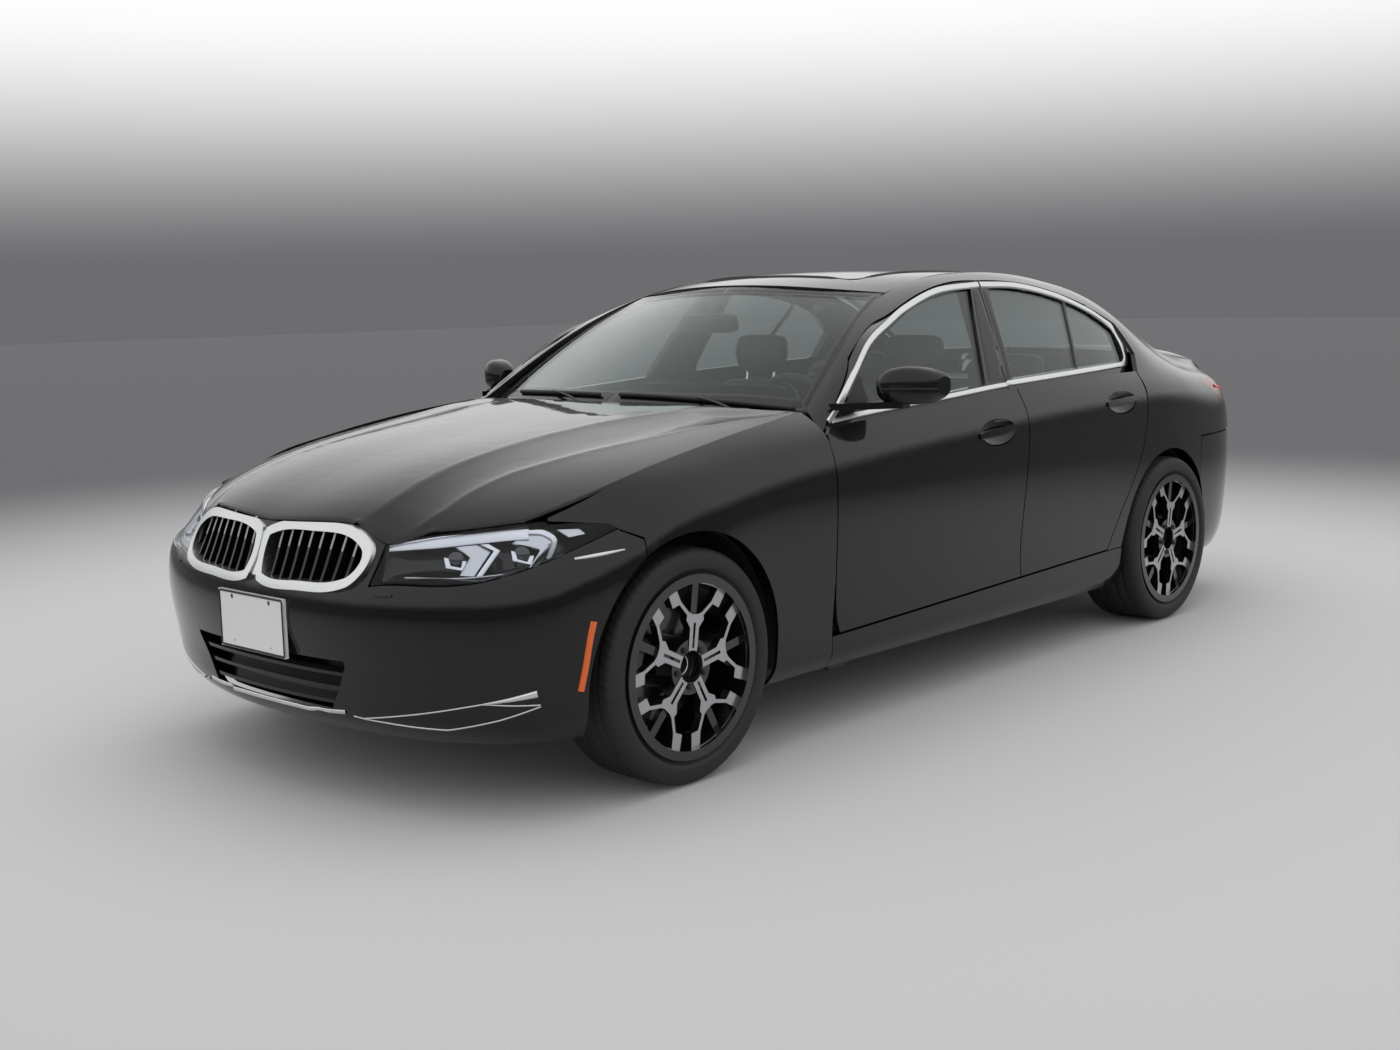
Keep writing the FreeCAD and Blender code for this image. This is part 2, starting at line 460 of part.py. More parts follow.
ARCH_FRONT = Part.makeCylinder(size("front_arch_radius"), py(700), V(FRONT_AXLE, py(500), RADIUS), V(0, 1, 0))
ARCH_REAR = Part.makeCylinder(size("rear_arch_radius"), py(700), V(REAR_AXLE, py(500), RADIUS), V(0, 1, 0))
SEAM_ABOVE = poly((1732, 100), (1732, 714), (1794, 742), (1812, 756), (1900, 768), (1976, 776), (2300, 776), (2300, 100))
SEAM_BEHIND = poly((1500, 100), (1737, 100), (1737, 709), (1797, 737), (1797, 1000), (1500, 1000))
HOOD_EDGE = [(2062, 690), (2005, 715), (1930, 748), (1790, 783), (1610, 792), (1355, 789), (1130, 779), (894, 757)]
LID_EDGE = [(-1640, 643), (-1700, 641), (-1860, 634), (-1990, 620), (-2095, 597), (-2170, 575)]
LID_SIDE = [(575, 1016), (620, 970), (650, 908), (672, 838), (690, 734)]


def beside(line, room):
    """All that lies between the middle and a plan line moved outwards by some room."""
    moved = [(x, y + room) for x, y in line]
    return plan_prism([moved, [moved[-1], (moved[-1][0], 0)], [(moved[-1][0], 0), (moved[0][0], 0)], [(moved[0][0], 0), moved[0]]],
                      pz(560), pz(1300))
QUARTER_SEAM = poly((-1595, 727), (-2500, 727), (-2500, 100), (-1595, 100))
TAIL_SEAM = poly((-1400, 719), (-2181, 719), (-2181, 1000), (-1400, 1000))
doors_cut = side_prism(grown(BOTH_DOORS, door_half), inner, outer)

fender = slab(fender_net, size("skin"), OUT_Y).cut(side_prism(SEAM_ABOVE, inner, outer)).cut(ARCH_FRONT)
fender = fender.cut(beside(HOOD_EDGE, GAP))
fender = solid(fender.cut(doors_cut))
node("fenders", both(fender))

TAIL_LAMP = [[(-1716, 940), (-1850, 946), (-2000, 946), (-2230, 950)], [(-2230, 950), (-2230, 806)],
             [(-2230, 806), (-2075, 806), (-2005, 814), (-1880, 866), (-1716, 940)]]
quarter = slab(quarter_net, size("panel") * 0.7, OUT_Y)
quarter = quarter.cut(doors_cut).cut(ARCH_REAR).cut(side_prism(QUARTER_SEAM, inner, outer))
quarter = quarter.cut(side_prism(TAIL_LAMP, inner, outer))
lid_wall = [(y + GAP, z) for y, z in LID_SIDE]
lid_room = front_prism([lid_wall, [lid_wall[-1], (0, 734 - GAP)], [(0, 734 - GAP), (0, 1100)], [(0, 1100), (575 + GAP, 1100)],
                        [(575 + GAP, 1100), lid_wall[0]]], px(-2400), px(-2122))
quarter = quarter.cut(beside(LID_EDGE, GAP)).cut(lid_room)
quarter = quarter.cut(box(px(-1010), px(-600), 0, outer, pz(1200), pz(1500)))
quarter = quarter.cut(side_prism(poly((-1010, 100), (-600, 100), (-600, 343), (-1010, 343)), inner, outer))
node("quarter_panels", both(solid(quarter)))
tail_lamp = solid(slab(quarter_net, 60, OUT_Y, 1).common(side_prism(TAIL_LAMP, inner, outer)).cut(lid_room).cut(beside(LID_EDGE, GAP)))
node("tail_lamps", both(tail_lamp))

frames_cut = slab(glass_net, 66 + size("frame_thickness"), OUT_Y, -60).common(doors_cut)
rail = slab(rail_net, 38, OUT_Y + OUT_Z).cut(frames_cut)
roof_full = slab(roof_net, size("roof_panel_thickness"), OUT_Z)
rail = rail.cut(roof_full).cut(box(px(-1400), px(-1010), 0, outer, pz(800), pz(1500))).cut(box(px(903), px(1100), 0, outer, 0, pz(1500)))
node("roof_rails", both(solid(rail)))

SUNROOF = [[(120, -395), (120, 395)], [(120, 395), (-760, 395)], [(-760, 395), (-760, -395)], [(-760, -395), (120, -395)]]
well = slab(roof_net, size("sunroof_thickness") + 5, OUT_Z, -4).common(plan_prism(SUNROOF, pz(1300), pz(1500)))
roof = roof_full.cut(well).cut(plan_prism(grown(SUNROOF, -25), pz(1300), pz(1500)))
node("roof_panel", solid(roof))
sunroof = slab(roof_net, size("sunroof_thickness"), OUT_Z, 1).common(plan_prism(grown(SUNROOF, -3), pz(1300), pz(1500)))
windshield = solid(slab(screen_net, size("screen_glass"), OUT_Z, 3).cut(roof_full))
rear_window = solid(slab(rear_screen_net, size("screen_glass"), OUT_Z, 3).cut(both(solid(quarter))).cut(roof_full))
node("body_glass", Part.makeCompound([windshield, rear_window, solid(sunroof)]))

# Hood and trunk lid, each a skin with an inner panel set in from its edge


hood_skin = slab(hood_net, 7, OUT_Z)
LAMP_TOP = [(0, 755), (120, 762), (250, 768), (350, 760), (418, 730), (446, 718), (520, 742), (600, 755),
            (680, 767), (760, 776), (835, 771), (900, 752)]
below = [(y, z + GAP) for y, z in LAMP_TOP]
nose = [[(-y, z) for y, z in below[::-1]] + below[1:], [(900, below[-1][1]), (900, 500)], [(900, 500), (-900, 500)],
        [(-900, 500), (-900, below[-1][1])]]
hood_front_cut = outline_face(nose, lambda y, z: V(px(1900), py(y), pz(z))).extrude(V(800, 0, 0))
HOOD_CORE = [[(970, -640), (1180, -748), (1555, -765), (1790, -745), (1960, -690), (2120, -540), (2215, -330), (2240, 0),
              (2215, 330), (2120, 540), (1960, 690), (1790, 745), (1555, 765), (1180, 748), (970, 640)],
             [(970, 640), (1000, 420), (1014, 0), (1000, -420), (970, -640)]]
hood_core = slab(hood_net, size("hood_thickness"), OUT_Z).common(
    plan_prism(grown(HOOD_CORE, -12), pz(600), pz(1200)))
hood = solid(hood_skin.fuse(hood_core).cut(hood_front_cut))
node("hood", hood)

deck_skin = slab(deck_net, 7, OUT_Z)
face_skin = slab(lid_face_net, 16, REAR_X)
deck_core = slab(deck_net, size("lid_thickness"), OUT_Z).common(
    plan_prism(poly((-1712, -600), (-2200, -540), (-2262, 0), (-2200, 540), (-1712, 600)), pz(900), pz(1200)))
trunk = solid(deck_skin.fuse([face_skin, deck_core]))
lamp_face = front_prism([[(338, 884), (480, 896), (668, 902)], [(668, 902), (690, 806)], [(690, 806), (520, 822), (372, 846)],
                         [(372, 846), (338, 884)]], px(-2400), px(-2140))
lid_lamp = solid(slab(lid_face_net, 9, REAR_X, -3).common(lamp_face))
trunk = solid(trunk.cut([lid_lamp, mirror(lid_lamp)]))
node("trunk_lid", trunk)
node("lid_lamps", both(lid_lamp))

# Bumpers, lamps and grilles

LAMP = [[(446, 714), (520, 738), (600, 751), (680, 763), (760, 772), (820, 768), (862, 750)],
        [(862, 750), (840, 706), (790, 664), (730, 641), (600, 629), (446, 620)], [(446, 620), (446, 714)]]
KIDNEY = [[(9, 738), (60, 756), (225, 768), (350, 758), (410, 724)], [(410, 724), (425, 690), (420, 655), (384, 614)],
          [(384, 614), (330, 599), (200, 592), (60, 592), (24, 602)], [(24, 602), (9, 640), (9, 738)]]
INTAKE = poly((352, 412), (352, 396), (270, 256), (-270, 256), (-352, 396), (-352, 412))
front_x0, front_x1 = px(1700), px(2356.5) + 300
lamp_solid = front_prism(LAMP, front_x0, front_x1)
bumper = slab(front_net, size("bumper_thickness"), OUT_X)
cut_side = side_prism(SEAM_BEHIND, inner, outer)
lamp_cut = front_prism(grown(LAMP, 4), front_x0, front_x1)
kidney_cut = front_prism(KIDNEY, front_x0, front_x1)
top = [[(-y, z) for y, z in LAMP_TOP[::-1]] + LAMP_TOP[1:], [(900, 752), (900, 1000)], [(900, 1000), (-900, 1000)],
       [(-900, 1000), (-900, 752)]]
top_cut = outline_face(top, lambda y, z: V(px(1900), py(y), pz(z))).extrude(V(800, 0, 0))
for tool in (cut_side, ARCH_FRONT, lamp_cut, kidney_cut):
    bumper = bumper.cut(tool).cut(mirror(tool))
bumper = bumper.cut(front_prism(INTAKE, front_x0, front_x1)).cut(top_cut)
bumper = bumper.cut(box(front_x0 - 100, px(1960), -outer, outer, pz(742), pz(1000)))
PLATE_UP = size("plate_up")
HOLES_ACROSS, HOLES_UP, HOLE = size("plate_holes_across") / 2, size("plate_holes_up") / 2, size("plate_hole_radius")
holes = [Part.makeCylinder(HOLE, 60, V(LENGTH / 2 - 50, y, pz(PLATE_UP) + z), V(1, 0, 0))
         for y in (-HOLES_ACROSS, HOLES_ACROSS) for z in (-HOLES_UP, HOLES_UP)]
bumper = bumper.cut(Part.makeCompound(holes))
node("front_bumper", solid(bumper))
liner_room = Part.makeCylinder(size("front_arch_radius") + 18, py(700), V(FRONT_AXLE, py(300), RADIUS), V(0, 1, 0))
lamp = solid(slab(front_net, size("lamp_depth"), OUT_X, 2).common(lamp_solid).cut([fender, liner_room]))
node("headlamps", both(lamp))

ring = slab(front_net, 46, OUT_X, -12).common(front_prism(KIDNEY, front_x0, front_x1))
ring = solid(ring.cut(front_prism(grown(KIDNEY, -24), front_x0, front_x1)))
node("grille_frames", both(ring))
hole = front_prism(grown(KIDNEY, -24), front_x0, front_x1)
slats = slab(front_net, 30, OUT_X, 4)
bars = [Part.makeBox(2000, 9, 400, V(front_x0, py(24 + 41.5 * (k + 1)) - 4.5, pz(560))) for k in range(9)]
back = slab(front_net, 8, OUT_X, 32).common(hole)
bars = solid(back.fuse([slats.common(b).common(hole) for b in bars]))
mouth = front_prism(INTAKE, front_x0, front_x1)
blades = [box(front_x0, front_x1, -py(400), py(400), pz(z) - 5, pz(z) + 5) for z in (292, 332, 372)]
low_back = slab(front_net, 8, OUT_X, 40).common(mouth)
lower = solid(low_back.fuse([slab(front_net, 36, OUT_X, 6).common(b).common(mouth) for b in blades]))
node("grille_bars", Part.makeCompound([bars, mirror(bars), lower]))

rear_bumper = slab(rear_net, size("bumper_thickness"), REAR_X)
TIP_Y, TIP_Z = py(560), pz(260)
rear_bumper = rear_bumper.cut([rod(V(px(-2050), s * TIP_Y, TIP_Z), V(px(-2350), s * TIP_Y, TIP_Z), size("tailpipe_radius") + 7)
                               for s in (1, -1)])
tail_cut = side_prism(TAIL_SEAM, inner, outer)
for tool in (tail_cut, ARCH_REAR):
    rear_bumper = rear_bumper.cut(tool).cut(mirror(tool))
node("rear_bumper", solid(rear_bumper))

# The load-bearing body behind the panels

SILL = poly((903, 150), (903, 301), (867, 301), (-187, 325), (-815, 339), (-960, 339), (-960, 150))
FLOOR = size("floor_thickness")
floor_low, sill_in = pz(168), py(700)
sill = slab(door_net, 100, OUT_Y).common(side_prism(SILL, inner, outer)).cut(ARCH_REAR)
sill_box = box(px(-900), px(900), sill_in, py(800), floor_low + 12, pz(292))
a_post = box(px(815), px(885), sill_in, py(772), pz(280), pz(868))
b_post = box(px(-245), px(-130), py(700), py(750), pz(280), pz(1075))
B_UPPER = poly((-110, 935), (-250, 935), (-345, 1372), (-250, 1372))
b_upper = slab(glass_net, 30, OUT_Y, size("frame_thickness") + 8).common(side_prism(B_UPPER, inner, outer)).cut(rail)
pads = [box(px(x) - size("jack_pad_length") / 2, px(x) + size("jack_pad_length") / 2, py(750) - size("jack_pad_width") / 2,
            py(750) + size("jack_pad_width") / 2, pz(165), pz(212)) for x in (760, -640)]
door_room = slab(door_net, size("door_thickness") + size("seat_clearance"), OUT_Y)
b_upper = solid(b_upper.cut(slab(door_net, size("door_thickness") + 8, OUT_Y)))
brackets = [box(px(x0), px(x1), py(y0), py(840), pz(z), pz(z + 45)).cut(door_room)
            for x0, x1, y0 in ((848, 874, 760), (-164, -138, 740), (-245, -224, 740)) for z in (430, 720)]
brackets = [biggest(b.common(box(px(-400), px(1000), 0, py(835), 0, pz(900))))[0] for b in brackets]
side_frame = solid(solid(sill).fuse([sill_box, a_post, b_post, b_upper] + pads + brackets))
node("side_frames", both(side_frame))

floor = box(px(-1010), px(895), -sill_in, sill_in, floor_low, floor_low + FLOOR)
tunnel = Part.makeCylinder(120, px(895) - px(-1010), V(px(-1010), 0, floor_low + FLOOR), V(1, 0, 0))
tunnel = tunnel.common(box(px(-1010), px(895), -200, 200, floor_low, floor_low + 300))
groove = Part.makeCylinder(108, px(895) - px(-1010), V(px(-1010), 0, floor_low + FLOOR - 12), V(1, 0, 0))
floor = solid(floor.fuse(tunnel).cut(groove.common(box(px(-1100), px(900), -108, 108, floor_low - 50, floor_low + 300))))
wheel_room = Part.makeCylinder(RADIUS + 14, py(1600), V(REAR_AXLE, -py(800), RADIUS), V(0, 1, 0))
wheel_room = wheel_room.cut(box(-3000, 3000, -py(655), py(655), 0, 1000))
node("floor_pan", solid(floor.cut(wheel_room)))
dash_wall = box(px(895), px(915), -py(690), py(690), floor_low, pz(930))
cowl = plan_prism(poly((895, -690), (960, -560), (985, 0), (960, 560), (895, 690)), pz(918), pz(930))
dash_wall = dash_wall.cut(Part.makeCylinder(108, 60, V(px(880), 0, floor_low + FLOOR - 12), V(1, 0, 0)))
fender_room = slab(fender_net, size("skin") + 60, OUT_Y, -60)
stays = [box(px(912), px(950), py(600), py(899), pz(z), pz(z + 30)).cut(fender_room) for z in (500, 690)]
stays = [biggest(b)[0] for b in stays]
node("firewall", solid(dash_wall.fuse([cowl] + stays + [mirror(b) for b in stays])))
bulkhead = side_prism(poly((-1010, 168), (-1032, 168), (-1032, 190), (-1260, 960), (-1238, 960), (-1010, 190)), -py(600), py(600))
bulkhead = bulkhead.cut(Part.makeCylinder(56, 200, V(px(-1150), 0, pz(170)), V(1, 0, 0)))
shelf = box(px(-1640), px(-1240), -py(600), py(600), pz(948), pz(962))
trunk_floor = box(px(-2230), px(-1040), -py(450), py(450), pz(300), pz(320))
rear_stay = box(px(-2312), px(-2220), -py(150), py(150), pz(300), pz(320))
rear_wall = box(px(-2262), px(-2242), -py(420), py(420), pz(300), pz(728))
slam_rest = box(px(-2310), px(-2242), -py(100), py(100), pz(726), pz(752)).cut(
    slab(lid_face_net, 16 + size("seat_clearance"), REAR_X))
rear_floor = bulkhead.fuse([shelf, trunk_floor, rear_stay, rear_wall, biggest(slam_rest.common(box(px(-2400), px(-2242), -200, 200, 0, 1000)))[0]])
node("rear_floor", solid(rear_floor.cut(slab(rear_net, size("bumper_thickness"), REAR_X))))

LINER_GAP = 8
liner_front = Part.makeCylinder(size("front_arch_radius") + LINER_GAP + 5, py(365), V(FRONT_AXLE, py(480), RADIUS), V(0, 1, 0))
liner_front = liner_front.cut(Part.makeCylinder(size("front_arch_radius") + LINER_GAP, py(365), V(FRONT_AXLE, py(485), RADIUS), V(0, 1, 0)))
liner_front = liner_front.cut(box(px(1000), px(2100), 0, outer, 0, pz(340)))
arm_slot = box(FRONT_AXLE - 90, FRONT_AXLE + 90, py(470), py(490), pz(330), pz(560))
liner_front = solid(liner_front.cut(arm_slot))
liner_rear = Part.makeCylinder(size("rear_arch_radius") + 5, py(245), V(REAR_AXLE, py(600), RADIUS), V(0, 1, 0))
liner_rear = liner_rear.cut(Part.makeCylinder(size("rear_arch_radius"), py(300), V(REAR_AXLE, py(605), RADIUS), V(0, 1, 0)))
liner_rear = solid(liner_rear.cut(box(px(-1700), px(-900), 0, outer, 0, pz(345))).cut(
    box(REAR_AXLE - 90, REAR_AXLE + 90, py(590), py(610), 0, pz(420))))
node("wheelhouses", Part.makeCompound([liner_front, mirror(liner_front), liner_rear, mirror(liner_rear)]))

rail_beam = box(px(915), px(2150), py(352), py(435), pz(360), pz(470))
rail_beam = rail_beam.fuse(box(px(1250), px(1290), py(430), py(480), pz(420), pz(450)))
cross = box(px(2150), px(2190), -py(520), py(520), pz(350), pz(480))
radiator = box(px(2080), px(2140), -py(370), py(370), pz(300), pz(690))
crash_box = box(px(2180), px(2335), -py(150), py(150), pz(425), pz(465)).cut(slab(front_net, size("bumper_thickness"), OUT_X))
catch = box(px(2092), px(2130), -py(40), py(40), pz(680), pz(838)).cut(
    slab(hood_net, size("hood_thickness") + size("seat_clearance"), OUT_Z))
front_frame = Part.makeCompound([rail_beam, mirror(rail_beam)]).fuse([cross, radiator, solid(crash_box), solid(catch),
    box(px(2130), px(2160), -py(370), py(370), pz(380), pz(450))])
node("front_frame", solid(front_frame))

# Engine: one block with its sizes from the sheet
engine = doc.addObject("Part::Box", "engine_block")
engine.Label = "engine_block"
engine.setExpression("Length", "Sizes.engine_length")
engine.setExpression("Width", "Sizes.engine_width")
engine.setExpression("Height", "Sizes.engine_height")
engine.Placement = FreeCAD.Placement(V(px(1130), -size("engine_width") / 2, pz(270)), FreeCAD.Rotation())
NODES.append(engine)

# Suspension: what shows from below and through the wheels

STEER_Y = py(725)
PIN, BORE = 11, 11.3
low_z, high_z = RADIUS - 188, RADIUS + 178


def arm(x, y0, y1, z0, z1, half0, half1, t=14):
    face = Part.Face(Part.makePolygon([V(x - half0, y0, z0), V(x + half0, y0, z0), V(x + half1, y1, z1),
                                       V(x - half1, y1, z1), V(x - half0, y0, z0)]))
    return face.extrude(V(0, 0, t))


cross_front = box(FRONT_AXLE - 110, FRONT_AXLE + 110, -py(470), py(470), pz(170), pz(215))
parts_front = [cross_front] + [box(FRONT_AXLE - 40, FRONT_AXLE + 40, y - 25, y + 25, pz(210), pz(270)) for y in (-170, 170)]
for side in (1, -1):
    low = arm(FRONT_AXLE, side * py(440), side * STEER_Y, low_z, low_z, 90, 22)
    high = arm(FRONT_AXLE, side * py(440), side * STEER_Y, high_z, high_z, 60, 20)
    post = box(FRONT_AXLE - 60, FRONT_AXLE + 60, min(side * py(435), side * py(465)), max(side * py(435), side * py(465)), low_z, high_z + 14)
    pins = [Part.makeCylinder(PIN, 44, V(FRONT_AXLE, side * STEER_Y, low_z)), Part.makeCylinder(PIN, 44, V(FRONT_AXLE, side * STEER_Y, high_z - 30))]
    ends = [Part.makeCylinder(24, 14, V(FRONT_AXLE, side * STEER_Y, low_z)), Part.makeCylinder(22, 14, V(FRONT_AXLE, side * STEER_Y, high_z))]
    parts_front += [low, high, post] + pins + ends
front_subframe = solid(parts_front[0].fuse(parts_front[1:]))

hub_face = py(size("front_track_half")) + 30
rear_face = py(size("rear_track_half")) + 30
FIT = size("hub_bore_radius") - size("stub_radius")
upright = box(FRONT_AXLE - 45, FRONT_AXLE + 45, STEER_Y - 40, STEER_Y + 4, RADIUS - 110, RADIUS + 110)
stub = Part.makeCylinder(size("stub_radius"), hub_face + 8 - STEER_Y, V(FRONT_AXLE, STEER_Y, RADIUS), V(0, 1, 0))
low_boss = Part.makeCylinder(24, 32, V(FRONT_AXLE, STEER_Y, low_z + 14.5))
low_boss = low_boss.fuse(box(FRONT_AXLE - 24, FRONT_AXLE + 24, STEER_Y - 40, STEER_Y, low_z + 14.5, RADIUS - 100))
high_boss = Part.makeCylinder(22, 30, V(FRONT_AXLE, STEER_Y, high_z - 30.5))
high_boss = high_boss.fuse(box(FRONT_AXLE - 22, FRONT_AXLE + 22, STEER_Y - 40, STEER_Y, RADIUS + 100, high_z - 0.5))
bores = [Part.makeCylinder(BORE, 60, V(FRONT_AXLE, STEER_Y, low_z + 10)), Part.makeCylinder(BORE, 50, V(FRONT_AXLE, STEER_Y, high_z - 35))]
steer_arm = box(FRONT_AXLE - 150, FRONT_AXLE - 40, STEER_Y - 40, STEER_Y - 18, RADIUS - 60, RADIUS - 36)
disc_out = hub_face - size("disc_inset")
disc_in = disc_out - size("disc_thickness")


def caliper(x, y_in, y_out, side_x):
    ring_c = Part.makeCylinder(size("disc_radius") + 20, y_out - y_in + 44, V(x, y_in - 22, RADIUS), V(0, 1, 0))
    ring_c = ring_c.cut(Part.makeCylinder(105, y_out - y_in + 44, V(x, y_in - 22, RADIUS), V(0, 1, 0)))
    ring_c = ring_c.cut(Part.makeCylinder(size("disc_radius") + 5, y_out - y_in + 8, V(x, y_in - 4, RADIUS), V(0, 1, 0)))
    wedge = Part.Face(Part.makePolygon([V(x, 0, RADIUS), V(x + side_x * 300, 0, RADIUS - 130), V(x + side_x * 300, 0, RADIUS + 130),
                                        V(x, 0, RADIUS)])).extrude(V(0, outer, 0))
    return solid(ring_c.common(wedge))


front_caliper = caliper(FRONT_AXLE, disc_in, disc_out, 1)
bracket = box(FRONT_AXLE + 30, FRONT_AXLE + 130, STEER_Y - 40, STEER_Y - 22, RADIUS - 40, RADIUS + 40)
bracket = bracket.fuse(box(FRONT_AXLE + 108, FRONT_AXLE + 135, STEER_Y - 40, disc_in - 10, RADIUS - 40, RADIUS + 40))
knuckle = upright.fuse([stub, low_boss, high_boss, steer_arm, bracket, front_caliper])
knuckle = solid(knuckle.cut(Part.makeCompound(bores)))
node("knuckle_left", knuckle)
node("knuckle_right", mirror(knuckle))

cross_rear = box(REAR_AXLE - 120, REAR_AXLE + 120, -py(480), py(480), pz(200), pz(255))
rear_parts = [cross_rear]
rear_disc_out = rear_face - size("disc_inset")
rear_disc_in = rear_disc_out - size("disc_thickness")
for side in (1, -1):
    carrier = box(REAR_AXLE - 50, REAR_AXLE + 50, py(680), rear_disc_in - 12, RADIUS - 120, RADIUS + 120)
    stub_r = Part.makeCylinder(size("stub_radius"), rear_face + 8 - py(690), V(REAR_AXLE, py(690), RADIUS), V(0, 1, 0))
    arms = [arm(REAR_AXLE, py(460), py(700), pz(215), RADIUS - 110, 100, 30), box(REAR_AXLE - 25, REAR_AXLE + 25, py(460), py(690), RADIUS + 40, RADIUS + 56),
            box(REAR_AXLE - 25, REAR_AXLE + 25, py(450), py(478), pz(215), RADIUS + 56)]
    cal = caliper(REAR_AXLE, rear_disc_in, rear_disc_out, -1)
    brk = box(REAR_AXLE - 135, REAR_AXLE - 45, py(690), py(706), RADIUS - 40, RADIUS + 40)
    brk = brk.fuse(box(REAR_AXLE - 135, REAR_AXLE - 110, py(690), rear_disc_in - 10, RADIUS - 40, RADIUS + 40))
    group = [carrier, stub_r, cal, brk] + arms
    rear_parts += group if side == 1 else [mirror(g) for g in group]
rear_subframe = solid(rear_parts[0].fuse(rear_parts[1:]))
node("subframes", Part.makeCompound([front_subframe, rear_subframe]))

# Wheels


def revolved(profile, x, closed_profile=True):
    """A profile of (radius, y) points turned about the wheel's axle at x."""
    pts = [V(x + r, y, RADIUS) for r, y in profile]
    face = Part.Face(Part.makePolygon(pts + [pts[0]]))
    return face.revolve(V(x, 0, RADIUS), V(0, 1, 0), 360)


def tyre(x, mid, width):
    half, r0, r1 = width / 2, size("bead_radius"), size("tyre_radius")
    s = r1 - r0
    seat_r = size("rim_radius") + 1.5
    profile = [(r0, mid - half * 0.86), (seat_r, mid - half * 0.86), (r0 + s * 0.5, mid - half), (r0 + s * 0.82, mid - half * 0.97), (r1 - 3, mid - half * 0.8),
               (r1, mid - half * 0.6), (r1, mid + half * 0.6), (r1 - 3, mid + half * 0.8), (r0 + s * 0.82, mid + half * 0.97),
               (r0 + s * 0.5, mid + half), (seat_r, mid + half * 0.86), (r0, mid + half * 0.86)]
    return solid(revolved(profile, x))


def y_spoke(x, y, reach, turn):
    """A stem that forks into two thin branches with broad feet, a recessed middle bar, and a piece of the rim's edge."""
    fan, inside = math.radians(size("spoke_fan_angle")), math.radians(size("spoke_foot_angle"))
    hub, fork, stem, thick = size("spoke_hub_radius"), size("spoke_fork_radius"), size("spoke_stem_width") / 2, size("spoke_thickness")
    bar, edge = size("spoke_bar_width") / 2, size("rim_edge_width")
    foot = reach - size("spoke_foot_length")
    arc = [(reach * math.cos(a), reach * math.sin(a)) for a in [fan * (1 - k / 6) for k in range(13)]]
    half = [(hub, stem), (fork - 24, stem + 1), (fork - 1, stem + 19), (fork + 11, stem + 16),
            (foot * math.cos(inside) - 4, foot * math.sin(inside) + 4), (foot * math.cos(fan), foot * math.sin(fan))]
    line = half + arc + [(a, -b) for a, b in half[::-1]]
    plate = Part.Face(Part.makePolygon([V(a, 0, b) for a, b in line + line[:1]])).extrude(V(0, thick, 0))
    top = reach - edge
    cuts = [Part.makeBox(fork - hub - 18, 9, 9, V(hub + 8, thick - 8, -4.5)),
            Part.makeBox(reach - fork, 9, 2 * bar, V(fork + 14, thick - 8, -bar))]
    for s in (1, -1):
        far = [(top * math.cos(a), top * math.sin(a)) for a in [inside * 1.08 * (1 - k / 4) + 0.055 * k / 4 for k in range(5)]]
        hole = [(fork + 14, bar), (fork + 19, stem + 9), (foot * math.cos(inside) + 4, foot * math.sin(inside) - 2)] + far + [(far[-1][0], bar)]
        cuts.append(Part.Face(Part.makePolygon([V(a, -1, s * b) for a, b in hole + hole[:1]])).extrude(V(0, thick + 2, 0)))
    plate = plate.cut(cuts)
    plate.rotate(V(0, 0, 0), V(0, 1, 0), turn)
    plate.translate(V(x, y, RADIUS))
    return plate


def rim(x, mid, width, face_y, disc_o, disc_i):
    half, r0, r1 = width / 2 * 0.86, size("bead_radius") - 0.5, size("rim_radius")
    lip = mid + half
    barrel = revolved([(r0 - 12, mid - half - 14), (r1, mid - half - 14), (r1, mid - half - 1), (r0, mid - half - 1),
                       (r0, lip + 1), (r1, lip + 1), (r1, lip + 12), (r0 - 8, lip + 12)], x)
    hub = revolved([(size("hub_bore_radius"), face_y), (78, face_y), (78, face_y + 22), (size("hub_bore_radius"), face_y + 22)], x)
    cap = revolved([(0.0, face_y + 14), (40, face_y + 14), (40, face_y + 24), (0.0, face_y + 24)], x)
    disc = revolved([(70, disc_i), (size("disc_radius"), disc_i), (size("disc_radius"), disc_o), (70, disc_o)], x)
    hat = revolved([(70, disc_i), (78, disc_i), (78, face_y + 2), (70, face_y + 2)], x)
    spokes = [y_spoke(x, lip - size("spoke_thickness"), r0 - 1, 72 * k - 90 - size("spoke_lean")) for k in range(5)]
    cone = revolved([(size("hub_bore_radius") + 6, face_y + 4), (78, face_y + 4), (78, lip - 2), (44, lip - 2), (40, face_y + 24)], x)
    return solid(barrel.fuse([hub, cap, disc, hat, cone] + spokes))


WHEELS = {}
for end, x, mid, wide, face_y, d_o, d_i in (
        ("front", FRONT_AXLE, py(size("front_track_half")), size("front_tyre_width"), hub_face, disc_out, disc_in),
        ("rear", REAR_AXLE, py(size("rear_track_half")), size("rear_tyre_width"), rear_face, rear_disc_out, rear_disc_in)):
    tyre_l, rim_l = tyre(x, mid, wide), rim(x, mid, wide, face_y, d_o, d_i)
    for side, f in (("left", lambda s: s), ("right", mirror)):
        node("tyre_%s_%s" % (end, side), f(tyre_l))
        node("rim_%s_%s" % (end, side), f(rim_l))

# Doors, glass and mirrors

for side, f in (("left", lambda s: s), ("right", mirror)):
    node("front_door_%s" % side, f(front_door))
    node("rear_door_%s" % side, f(rear_door))
    node("front_glass_%s" % side, f(front_pane))
    node("rear_glass_%s" % side, f(rear_pane))


